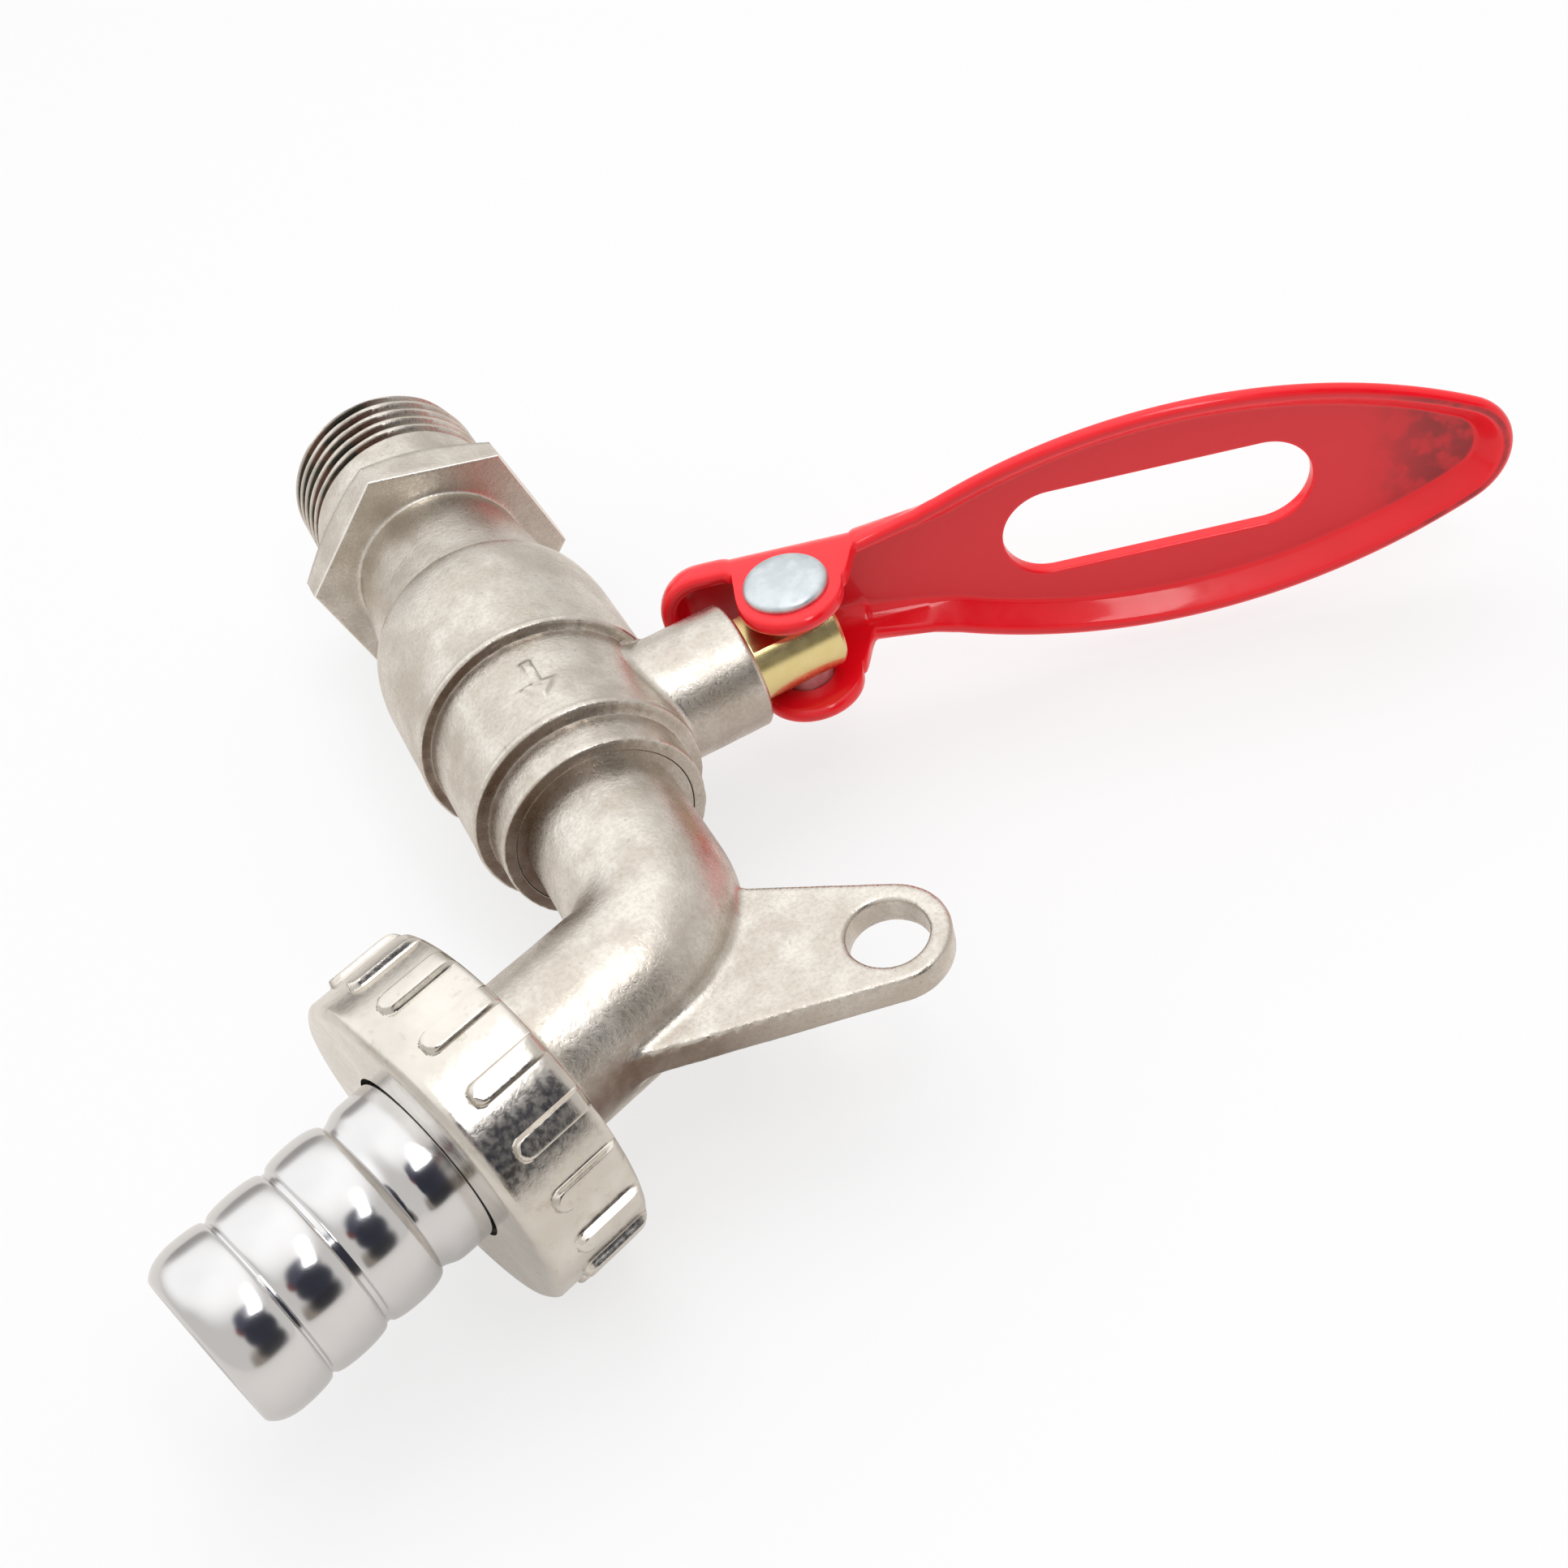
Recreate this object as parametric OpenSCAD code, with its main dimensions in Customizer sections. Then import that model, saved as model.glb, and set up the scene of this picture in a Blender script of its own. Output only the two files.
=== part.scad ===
// Lockable hose tap: a quarter-turn ball tap with a fold-down lever whose slot
// drops over a cast lug, so that a padlock through the lug keeps the tap shut.
// X runs from the inlet to the outlet, Z up along the stem, Y across.
// The origin is the centre of the inlet thread's end face. Sizes are in mm.

/* [Preview] */
// which piece to show

/* [Inlet] */
// outside diameter of the inlet pipe thread
inlet_thread_d = 20.955; // [15:0.005:35]
// length of the thread before the hexagon
inlet_thread_len = 15.6; // [8:0.1:25]
// bore through the inlet
inlet_bore_d = 13.4; // [8:0.1:18]
// lead chamfer on the thread's end
inlet_chamfer = 1.1; // [0.3:0.1:2]
// hexagon across flats
hex_af = 24; // [18:0.1:36]
// thickness of the hexagon
hex_len = 4.8; // [3:0.1:12]
// turn of the hexagon about the pipe axis
hex_turn = 45.4; // [0:0.1:60]
// diameter to which the hexagon's corners are bevelled on the inlet side
hex_bevel_d = 22.6; // [18:0.1:34]

/* [Valve chamber] */
// stem axis, measured from the inlet end
stem_x = 54.7; // [40:0.1:80]
// neck diameter at the hexagon
neck_d = 17.8; // [14:0.1:26]
// neck diameter where the shoulder starts
neck_top_d = 20.9; // [14:0.1:26]
// where the shoulder starts
shoulder_x = 33.5; // [26:0.1:45]
// where the shoulder reaches full width
shoulder_end_x = 39.6; // [28:0.1:50]
// widest diameter of the chamber
chamber_d = 24.5; // [18:0.1:36]
// end of the wide part
chamber_end_x = 50.6; // [40:0.1:60]
// diameter of the band round the ball
band_d = 22.3; // [18:0.1:34]
// end of the band
band_end_x = 62.6; // [50:0.1:75]
// diameter of the end ring
ring_d = 19.6; // [16:0.1:30]
// end of the ring
ring_end_x = 66.5; // [55:0.1:80]
// rounding of the steps
step_round = 0.5; // [0.2:0.1:2]
// diameter of the ball's pocket
pocket_d = 17.2; // [14:0.1:24]

/* [Stem boss] */
// outside diameter of the boss
boss_d = 12.6; // [9:0.1:20]
// height of the boss above the pipe axis
boss_top = 19.6; // [14:0.1:30]
// edge break on the boss
boss_chamfer = 0.5; // [0.1:0.1:1.5]

/* [Ball and seats] */
// ball diameter
ball_d = 15.6; // [12:0.1:22]
// port through the ball
port_d = 9.6; // [6:0.1:14]
// width of the slot for the stem's tongue
tongue_slot_w = 3.1; // [2:0.1:5]
// angle on the ball at which the seats touch
seat_angle = 45; // [35:1:55]
// length of a seat ring
seat_len = 2.4; // [1.6:0.1:5]

/* [Stem] */
// stem diameter
stem_d = 8.4; // [5:0.1:12]
// top of the stem above the pipe axis
stem_top = 28.8; // [22:0.1:40]
// width over the two flats under the lever's ears
stem_flats = 6.2; // [4:0.1:10]
// collar that keeps the stem from blowing out
collar_d = 10.6; // [7:0.1:14]
// width of the tongue that turns the ball
tongue_d = 9; // [4:0.1:12]
// thickness of the collar
collar_h = 1.6; // [1:0.1:3]
// thickness of the washer over the collar
stem_washer_h = 0.8; // [0.4:0.1:2]
// section of the two O-rings
o_ring_section = 1.3; // [0.8:0.05:2.4]

/* [Lever] */
// lean of the lever from upright towards the spout
lever_lean = 20.4; // [0:0.1:140]
// height of the rivet above the pipe axis
rivet_z = 25.6; // [20:0.1:36]
// sheet thickness
sheet = 1.6; // [1:0.1:3]
// distance of the web's outer face from the rivet
web_offset = 8.3; // [6:0.1:14]
// clear width between the ears
ear_gap = 9.8; // [8:0.1:16]
// length behind the rivet
tail_len = 11.2; // [6:0.1:20]
// corner radius of the tail
tail_corner = 3; // [2.4:0.1:5]
// depth of the tail's rim, from the web's outer face
tail_depth = 4.6; // [3.4:0.1:6]
// radius of the ear lobes
ear_r = 5.1; // [4:0.1:8]
// hollow between the tail's rim and the lobes
ear_hollow = 1.2; // [0.4:0.1:2]
// lobe centre, below the rivet
ear_drop = 0.7; // [0:0.1:3]
// distance of the widest place from the rivet
wide_u = 38.5; // [25:0.1:60]
// half width of the web at the widest place
wide_w = 10; // [7:0.1:18]
// radius of the long sides
side_r = 57; // [35:0.5:120]
// radius of the tip
tip_r = 3.6; // [2:0.1:8]
// radius of the waist between clevis and leaf
waist_r = 11.7; // [6:0.1:25]
// flare of the rim from square
rim_flare = 39; // [0:1:60]
// length of the rim's flat, without its rounded edge
rim_len = 2.6; // [1.5:0.1:5]
// inside bend radius at the clevis
ear_bend = 2.4; // [0.5:0.1:3]
// inside bend radius along the leaf
rim_bend = 1; // [0.4:0.1:2]
// near end of the padlock slot, from the rivet
slot_start = 21.3; // [15:0.1:40]
// far end of the padlock slot, from the rivet
slot_end = 51.8; // [30:0.1:80]
// width of the padlock slot
slot_w = 9.8; // [6:0.1:16]

/* [Rivet] */
// shank diameter
rivet_d = 5; // [3:0.1:7]
// head diameter
rivet_head_d = 8.2; // [6:0.1:12]
// head thickness
rivet_head_h = 1; // [0.5:0.1:2]

/* [Spout] */
// outside diameter of the tube
tube_d = 15; // [11:0.1:22]
// bore of the tube
tube_bore_d = 11.2; // [7:0.1:18]
// where the two axes of the spout cross
elbow_x = 82.2; // [70:0.1:110]
// fall of the outlet below the pipe axis
fall = 72; // [45:0.5:90]
// radius of the bend's centre line
bend_r = 8; // [7.6:0.1:20]
// play of the part screwed into the body, all round
spigot_gap = 0.02; // [0.01:0.01:0.2]

/* [Lock lug] */
// hole centre along X
lug_x = 93.3; // [80:0.1:120]
// hole centre along Z
lug_z = 14.7; // [8:0.1:30]
// diameter of the padlock hole
lug_hole_d = 7; // [4:0.1:10]
// radius of the lug's end
lug_r = 5.35; // [4:0.05:9]
// thickness of the lug
lug_t = 3; // [2:0.1:6]
// where the lug's fin runs out on the spout, from where the axes cross
lug_foot = 11.5; // [8:0.1:16]
// depth to which the lug's root goes into the tube's wall
lug_root = 0.9; // [0.3:0.1:1.2]

/* [Outlet union] */
// outside diameter of the outlet pipe thread
outlet_thread_d = 26.441; // [20:0.001:35]
// pitch of the outlet thread
outlet_pitch = 1.814; // [1:0.001:3]
// start of the outlet collar, from where the axes cross
collar_start = 18; // [12:0.1:30]
// length of the outlet collar
collar_len = 5; // [4:0.1:14]
// outside diameter of the union nut
nut_d = 30.4; // [28:0.1:40]
// length of the union nut
nut_len = 9.6; // [8:0.1:20]
// start of the union nut, from where the axes cross
nut_start = 17.8; // [12:0.1:30]
// number of grip ribs
rib_count = 18; // [8:1:30]
// width of a grip rib
rib_w = 1.9; // [1:0.1:4]
// height of a grip rib
rib_h = 0.6; // [0.2:0.1:1.5]
// length of a grip rib
rib_len = 6.4; // [4:0.1:14]
// start of a grip rib, from the nut's face
rib_start = 0.5; // [0.4:0.1:2]
// thickness of the sealing washer
washer_t = 1.5; // [1:0.1:3]

/* [Hose tail] */
// diameter of the plain barrel
barrel_d = 15.5; // [10:0.1:22]
// largest diameter of the barbs
barb_d = 16.1; // [10:0.1:22]
// diameter in the grooves between the barbs
groove_d = 15; // [9:0.1:20]
// diameter in the first groove, at the end of the barrel
first_groove_d = 14.3; // [9:0.1:20]
// diameter at the hose tail's end
tail_tip_d = 13.8; // [9:0.1:20]
// bore of the hose tail
tail_bore_d = 10.6; // [6:0.1:16]
// thickness of the flange under the nut
flange_t = 1.5; // [1:0.1:3]
// first groove, from where the axes cross
groove_1 = 32; // [28:0.1:40]
// distance from one groove to the next
barb_pitch = 5.6; // [4:0.1:8]
// length of the last barb
end_barb_len = 5.9; // [4:0.1:8]

/* [Hidden] */
$fn = 96;
nickel = [0.76, 0.74, 0.69];
plate = [0.8, 0.79, 0.75];
chrome = [0.82, 0.83, 0.85];
yellow_brass = [0.74, 0.65, 0.38];
red = [0.8, 0.1, 0.12];
white_plastic = [0.93, 0.93, 0.9];
black_rubber = [0.06, 0.06, 0.06];
zinc = [0.78, 0.8, 0.82];
cut = 0.5;
fit_gap = 0.1;
seam = 0.1;
seam_step = 0.03;
hex_start = inlet_thread_len;
hex_end = inlet_thread_len + hex_len;
hex_corner_d = hex_af / cos(30);
hex_bevel_len = (hex_corner_d - hex_bevel_d) / 2 * tan(35);
ball_r = ball_d / 2;
seat_touch = ball_r * cos(seat_angle);
seat_face = seat_touch + 1.7;
seat_in_x = stem_x - seat_face;
seat_out_x = stem_x + seat_face - seat_len;
spigot_x = stem_x + seat_face + 0.02;
pocket_x = seat_in_x - 0.02;
spigot_d = pocket_d - 2 * spigot_gap;
spigot_end_x = ring_end_x - 0.05;
collar_z = pocket_d / 2 + fit_gap;
tongue_z = ball_r - 2.1;
tongue_h = collar_z - tongue_z + 0.3;
washer_z = collar_z + collar_h;
counterbore_top = washer_z + stem_washer_h + 0.02;
stem_bore_d = stem_d + 2 * fit_gap;
o_ring_groove_d = stem_d - 2 * o_ring_section + 0.3;
o_ring_mid_r = (stem_bore_d / 2 + o_ring_groove_d / 2) / 2;
o_ring_r = (stem_bore_d - o_ring_groove_d) / 4 - 0.02;
o_ring_low_z = counterbore_top + 2;
o_ring_high_z = o_ring_low_z + 3;
flats_z = boss_top + 0.4;
bend_tan = bend_r * tan(fall / 2);
tube_r = tube_d / 2;
outer_collar_end = collar_start + collar_len;
washer_start = outer_collar_end + 0.02;
flange_start = washer_start + washer_t + 0.02;
flange_end = flange_start + flange_t;
nut_end = nut_start + nut_len;
nut_bore_d = outlet_thread_d + 2 * fit_gap;
flange_d = nut_bore_d - 1.2;
nut_hole_d = barrel_d + 0.8;
hollow_end = flange_end + 0.05;
tail_end = groove_1 + 2 * barb_pitch + end_barb_len;
ear_outer = ear_gap / 2 + sheet;
rivet_half = ear_outer + 0.03;

// puts its children on the spout's lower axis, z running to the outlet
module on_outlet() {
    translate([elbow_x, 0, 0]) rotate([0, 90 + fall, 0]) children();
}

// a turned shape about the pipe axis, whose profile is drawn as [radius, x]
module turned_x() {
    rotate([0, 90, 0]) rotate_extrude() children();
}

// a rounded corner of the profile, ending at x and starting at radius r
function round_step(x, r, q) = [for (a = [0 : 22.5 : 90]) [r - q + q * cos(a), x - q + q * sin(a)]];

module body_profile() {
    thread_r = inlet_thread_d / 2;
    polygon(concat(
        [[0, 0], [thread_r - inlet_chamfer, 0], [thread_r, inlet_chamfer], [thread_r, hex_start - 1],
         [thread_r - 0.9, hex_start], [thread_r - 0.9, hex_start + 0.4], [neck_d / 2, hex_start + 0.4],
         [neck_d / 2, hex_end], [neck_top_d / 2, shoulder_x]],
        [for (a = [15 : 15 : 90]) [neck_top_d / 2 + (chamber_d - neck_top_d) / 2 * sin(a),
                                   shoulder_x + (shoulder_end_x - shoulder_x) * (1 - cos(a))]],
        round_step(chamber_end_x, chamber_d / 2, step_round),
        [[band_d / 2, chamber_end_x]],
        round_step(band_end_x, band_d / 2, step_round),
        [[ring_d / 2, band_end_x]],
        round_step(ring_end_x, ring_d / 2, step_round / 2),
        [[0, ring_end_x]]));
}

module valve_body() {
    color(nickel) difference() {
        union() {
            turned_x() body_profile();
            intersection() {
                translate([hex_start, 0, 0]) rotate([hex_turn, 0, 0]) rotate([0, 90, 0])
                    cylinder(d = hex_corner_d, h = hex_len, $fn = 6);
                translate([hex_start, 0, 0]) rotate([0, 90, 0])
                    cylinder(d1 = hex_bevel_d, d2 = hex_bevel_d + 2 * (hex_len) / tan(35), h = hex_len);
            }
            cylinder_boss();
        }
        translate([-cut, 0, 0]) rotate([0, 90, 0]) cylinder(d = inlet_bore_d, h = pocket_x + 2 * cut);
        translate([pocket_x, 0, 0]) rotate([0, 90, 0])
            cylinder(d = pocket_d, h = ring_end_x - pocket_x + cut);
        translate([stem_x, 0, 0]) cylinder(d = collar_d + 0.4, h = counterbore_top);
        translate([stem_x, 0, 0]) cylinder(d = stem_bore_d, h = boss_top + cut);
    }
}

module cylinder_boss() {
    translate([stem_x, 0, 0]) {
        cylinder(d = boss_d, h = boss_top - boss_chamfer);
        translate([0, 0, boss_top - boss_chamfer])
            cylinder(d1 = boss_d, d2 = boss_d - 2 * boss_chamfer, h = boss_chamfer);
    }
}

// where a line from p touches the circle round c, on side s
function touch(p, c, r, s) =
    let (d = norm(c - p), a = atan2(p[1] - c[1], p[0] - c[0]), b = acos(r / d))
    c + r * [cos(a + s * b), sin(a + s * b)];

module lug_outline() {
    c = [lug_x, lug_z];
    along = [cos(fall), -sin(fall)];
    out = [sin(fall), cos(fall)];
    bend_c = [elbow_x - bend_tan, -bend_r];
    top = [elbow_x - 0.6, tube_r - 0.6];
    low = [elbow_x, 0] + lug_foot * along + (tube_r - 0.3) * out;
    inner = bend_r + tube_r - lug_root;
    difference() {
        union() {
            polygon(concat([top, touch(top, c, lug_r, -1), c, touch(low, c, lug_r, 1), low,
                            [elbow_x, 0] + lug_foot * along + (tube_r - lug_root) * out],
                           [for (i = [0 : 6]) let (a = 90 - fall + (fall - 21) * i / 6) bend_c + inner * [cos(a), sin(a)]]));
            translate(c) circle(r = lug_r);
        }
        translate(c) circle(d = lug_hole_d);
    }
}

module spout_piece() {
    color(nickel) union() {
        turned_x() polygon([[tube_bore_d / 2, spigot_x], [spigot_d / 2 - 0.4, spigot_x], [spigot_d / 2, spigot_x + 0.4],
            [spigot_d / 2, spigot_end_x], [tube_r, spigot_end_x], [tube_r, elbow_x - bend_tan + seam],
            [tube_bore_d / 2, elbow_x - bend_tan + seam]]);
        translate([elbow_x - bend_tan, 0, -bend_r]) rotate([90, 0, 0]) rotate([0, 0, 90 - fall])
            rotate_extrude(angle = fall) translate([bend_r, 0]) difference() {
                circle(r = tube_r - seam_step);
                circle(r = tube_bore_d / 2 + seam_step);
            }
        on_outlet() rotate_extrude() polygon([[tube_bore_d / 2, bend_tan - seam], [tube_r, bend_tan - seam],
            [tube_r, collar_start - 1.6], [tube_r + 2.3, collar_start], [outlet_thread_d / 2, collar_start],
            [outlet_thread_d / 2, outer_collar_end - 0.6], [outlet_thread_d / 2 - 0.6, outer_collar_end],
            [tube_bore_d / 2, outer_collar_end]]);
        translate([0, lug_t / 2, 0]) rotate([90, 0, 0]) linear_extrude(height = lug_t) lug_outline();
    }
}

module ball() {
    color(chrome) translate([stem_x, 0, 0]) difference() {
        sphere(d = ball_d);
        rotate([90, 0, 0]) cylinder(d = port_d, h = ball_d + 2 * cut, center = true);
        translate([0, 0, ball_r + 2]) cube([ball_d + 2 * cut, tongue_slot_w, 9], center = true);
    }
}

module seat() {
    difference() {
        rotate([0, 90, 0]) difference() {
            cylinder(d = pocket_d - 0.04, h = seat_len);
            translate([0, 0, -cut]) cylinder(d = port_d + 0.6, h = seat_len + 2 * cut);
        }
        children();
    }
}

module inlet_seat() {
    color(white_plastic) translate([seat_in_x, 0, 0]) seat()
        translate([stem_x - seat_in_x, 0, 0]) sphere(d = ball_d + 0.02);
}

module outlet_seat() {
    color(white_plastic) translate([seat_out_x, 0, 0]) seat()
        translate([stem_x - seat_out_x, 0, 0]) sphere(d = ball_d + 0.02);
}

module stem() {
    color(yellow_brass) translate([stem_x, 0, 0]) difference() {
        union() {
            intersection() {
                translate([0, 0, tongue_z]) cylinder(d = tongue_d, h = tongue_h);
                translate([0, 0, tongue_z + tongue_h / 2])
                    cube([collar_d, tongue_slot_w - fit_gap, tongue_h + 0.2], center = true);
            }
            translate([0, 0, collar_z]) cylinder(d = collar_d, h = collar_h);
            translate([0, 0, collar_z]) cylinder(d = stem_d, h = stem_top - 0.4 - collar_z);
            translate([0, 0, stem_top - 0.4]) cylinder(d1 = stem_d, d2 = stem_d - 0.8, h = 0.4);
        }
        o_ring_groove(o_ring_low_z);
        o_ring_groove(o_ring_high_z);
        for (s = [-1, 1])
            translate([0, s * (stem_flats / 2 + 3), flats_z + 10]) cube([stem_d + 2, 6, 20], center = true);
        translate([0, 0, rivet_z]) rotate([90, 0, 0])
            cylinder(d = rivet_d + 0.1, h = stem_d + 2 * cut, center = true);
    }
}

module o_ring_groove(z) {
    translate([0, 0, z - o_ring_r - 0.2]) difference() {
        cylinder(d = stem_d + 1, h = 2 * o_ring_r + 0.4);
        translate([0, 0, -cut]) cylinder(d = o_ring_groove_d, h = 2 * o_ring_r + 0.4 + 2 * cut);
    }
}

module stem_washer() {
    color(white_plastic) translate([stem_x, 0, washer_z + 0.01]) difference() {
        cylinder(d = collar_d, h = stem_washer_h);
        translate([0, 0, -cut]) cylinder(d = stem_d + 0.06, h = stem_washer_h + 2 * cut);
    }
}

module o_ring(z) {
    color(black_rubber) translate([stem_x, 0, z]) rotate_extrude() translate([o_ring_mid_r, 0]) circle(r = o_ring_r);
}

module stem_o_ring_lower() o_ring(o_ring_low_z);

module stem_o_ring_upper() o_ring(o_ring_high_z);

// The lever is one pressed sheet: a flat web inside a closed outline of arcs, and a rim that is
// swept round that outline. Its flare, height and bend change along the lever, so the rim
// stands square as the clevis ears and opens out round the leaf. u runs along the lever from
// the rivet, w across it, v from the web towards the rim.
half_gap = ear_gap / 2;
side_c = [wide_u, wide_w - side_r];
waist_c = [wide_u - sqrt(pow(side_r + waist_r, 2) - pow(half_gap + waist_r - side_c[1], 2)), half_gap + waist_r];
tip_c = [wide_u + sqrt(pow(side_r - tip_r, 2) - pow(side_c[1], 2)), 0];
waist_a = atan2(side_c[1] - waist_c[1], side_c[0] - waist_c[0]);
tip_a = atan2(tip_c[1] - side_c[1], tip_c[0] - side_c[0]);
tail_u = -tail_len;
lobe_u = 0.2;
lobe_start = lobe_u - ear_r;
lobe_end = lobe_u + ear_r;
lobe_foot = lobe_end + 2;
rim_top = -web_offset + sheet + rim_len * cos(rim_flare);
tail_top = -web_offset + tail_depth - sheet / 2;
lobe_top = ear_drop - sheet / 2;

// [u, w, outward u, outward w] down one side, from the tail to the tip
half_outline = concat(
    [for (i = [0 : 5]) let (a = 180 - i * 18) [tail_u + tail_corner + tail_corner * cos(a),
        half_gap - tail_corner + tail_corner * sin(a), cos(a), sin(a)]],
    [for (u = concat([for (i = [0 : 5]) lobe_start - 0.05 - ear_hollow * (1 - sin(i * 18))], [for (i = [0 : 16]) lobe_u -
        ear_r * cos(i * 180 / 16)], [for (i = [1 : 4]) lobe_end + (lobe_foot - lobe_end) * i / 4])) [u, half_gap, 0, 1]],
    [for (i = [0 : 6]) let (a = -90 + (waist_a + 90) * i / 6) [waist_c[0] + waist_r * cos(a),
        waist_c[1] + waist_r * sin(a), -cos(a), -sin(a)]],
    [for (i = [1 : 20]) let (a = waist_a + 180 + (tip_a - waist_a - 180) * i / 20) [side_c[0] + side_r * cos(a),
        side_c[1] + side_r * sin(a), cos(a), sin(a)]],
    [for (i = [1 : 6]) let (a = tip_a * (1 - i / 6)) [tip_c[0] + tip_r * cos(a), tip_c[1] + tip_r * sin(a),
        cos(a), sin(a)]]);
n_half = len(half_outline);
outline = concat(half_outline, [for (i = [n_half - 2 : -1 : 0]) [half_outline[i][0], -half_outline[i][1],
    half_outline[i][2], -half_outline[i][3]]]);

function smooth(x) = let (c = min(1, max(0, x))) c * c * (3 - 2 * c);
function flare_at(u) = rim_flare * smooth((u - lobe_foot + 0.5) / 9);
function bend_at(u) = u < lobe_start - 0.3 ? min(ear_bend, tail_corner - 0.7) :
    ear_bend + (rim_bend - ear_bend) * smooth((u - lobe_foot + 1) / 9);
function edge_at(u) =
    u < lobe_start - 0.04 ? tail_top + ear_hollow * (1 - sqrt(max(0, 1 - pow(max(0, 1 + (u - lobe_start + 0.05) /
        ear_hollow), 2)))) :
    u <= lobe_end ? lobe_top + sqrt(max(0, ear_r * ear_r - pow(u - lobe_u, 2))) :
    u < lobe_foot ? lobe_top + (rim_top - lobe_top) * smooth((u - lobe_end) / (lobe_foot - lobe_end)) : rim_top;

// the rim's section at one place, as [outward, v], from the web's inner face over the edge to its outer face
function section(u) =
    let (f = flare_at(u), b0 = bend_at(u), w = -web_offset + sheet,
         l = (edge_at(u) - w) / cos(f), b = min(b0, 0.85 * l / tan((90 - f) / 2)),
         k = b * tan((90 - f) / 2), c = [-k, w + b],
         along = [sin(f), cos(f)], out = [cos(f), -sin(f)], e = [0, w] + l * along + out * sheet / 2)
    concat([for (i = [0 : 4]) let (a = (90 - f) * i / 4) c + b * [sin(a), -cos(a)]],
           [for (i = [0 : 5]) let (a = i * 36) e + sheet / 2 * (along * sin(a) - out * cos(a))],
           [for (i = [4 : -1 : 0]) let (a = (90 - f) * i / 4) c + (b + sheet) * [sin(a), -cos(a)]]);
n_out = len(outline);
n_sec = len(section(0));
lever_points = [for (p = outline) let (s = section(p[0])) for (q = s) [q[1], p[1] + p[3] * q[0], p[0] + p[2] * q[0]]];
lever_faces = concat(
    [for (i = [0 : n_out - 1], j = [0 : n_sec - 2]) let (a = i * n_sec + j, b = ((i + 1) % n_out) * n_sec + j) [a, b, a + 1]],
    [for (i = [0 : n_out - 1], j = [0 : n_sec - 2]) let (a = i * n_sec + j, b = ((i + 1) % n_out) * n_sec + j) [a + 1, b, b + 1]],
    [[for (i = [n_out - 1 : -1 : 0]) i * n_sec]],
    [[for (i = [0 : n_out - 1]) i * n_sec + n_sec - 1]]);

module lever_sheet() {
    polyhedron(points = lever_points, faces = lever_faces, convexity = 8);
}

module handle() {
    color(red) translate([stem_x, 0, rivet_z]) rotate([0, lever_lean, 0]) difference() {
        lever_sheet();
        translate([-web_offset - cut, 0, 0]) rotate([0, 90, 0]) linear_extrude(height = sheet + 2 * cut) {
            translate([-slot_start - slot_w / 2, 0]) circle(d = slot_w);
            translate([-slot_end + slot_w / 2, 0]) circle(d = slot_w);
            translate([-slot_end + slot_w / 2, -slot_w / 2]) square([slot_end - slot_start - slot_w, slot_w]);
        }
        rotate([90, 0, 0]) cylinder(d = rivet_d + 0.1, h = 2 * ear_outer + 2, center = true);
    }
}

module handle_rivet() {
    color(zinc) translate([stem_x, 0, rivet_z]) rotate([90, 0, 0]) union() {
        cylinder(d = rivet_d, h = 2 * rivet_half, center = true);
        for (s = [0, 1]) mirror([0, 0, s]) translate([0, 0, rivet_half]) rotate_extrude()
            polygon([[0, 0], [rivet_head_d / 2, 0], [rivet_head_d / 2, 0.3],
                     [rivet_head_d / 2 - 0.5, rivet_head_h * 0.75], [rivet_head_d / 4, rivet_head_h], [0, rivet_head_h]]);
    }
}

module rib_plan() {
    square([rib_w, rib_len - rib_w / 2]);
    translate([rib_w / 2, rib_len - rib_w / 2]) circle(d = rib_w);
}

module union_nut() {
    color(plate) on_outlet() difference() {
        union() {
            translate([0, 0, nut_start]) rotate_extrude() polygon([[0, 0], [nut_d / 2 - 0.3, 0], [nut_d / 2, 0.3],
                [nut_d / 2, nut_len - 0.6], [nut_d / 2 - 0.6, nut_len], [0, nut_len]]);
            intersection() {
                for (i = [0 : rib_count - 1]) rotate([0, 0, i * 360 / rib_count + 5])
                    translate([-rib_w / 2, -nut_d / 2 + 1.5, nut_start + rib_start]) rotate([90, 0, 0])
                        linear_extrude(height = 3) rib_plan();
                translate([0, 0, nut_start - cut]) cylinder(d = nut_d + 2 * rib_h, h = nut_len + 2 * cut);
            }
        }
        translate([0, 0, nut_start - cut]) cylinder(d = nut_bore_d, h = hollow_end - nut_start + cut);
        translate([0, 0, nut_start]) cylinder(d = nut_hole_d, h = nut_len + cut);
    }
}

// one rounded barb from groove a, of diameter d, to groove b
function barb(a, b, d) = [for (t = [0 : 36 : 180]) let (foot = (t < 90 ? d : groove_d) / 2)
    [foot + (barb_d / 2 - foot) * pow(sin(t), 0.8), a + (b - a) * (1 - cos(t)) / 2]];

module hose_tail() {
    groove_2 = groove_1 + barb_pitch;
    groove_3 = groove_2 + barb_pitch;
    color(chrome) on_outlet() rotate_extrude() polygon(concat(
        [[tail_bore_d / 2, flange_start], [flange_d / 2, flange_start], [flange_d / 2, flange_end],
         [barrel_d / 2, flange_end], [barrel_d / 2, groove_1 - 1.3]],
        barb(groove_1, groove_2 - 0.1, first_groove_d),
        barb(groove_2 + 0.1, groove_3 - 0.1, groove_d),
        [for (t = [0 : 30 : 90]) [(groove_d + (barb_d - groove_d) * pow(sin(t), 0.8)) / 2,
            groove_3 + 0.1 + barb_pitch / 2 * (1 - cos(t))]],
        [[tail_tip_d / 2 + 0.5, tail_end - 0.9], [tail_tip_d / 2, tail_end - 0.3],
         [tail_tip_d / 2 - 0.4, tail_end], [tail_bore_d / 2, tail_end]]));
}

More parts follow.
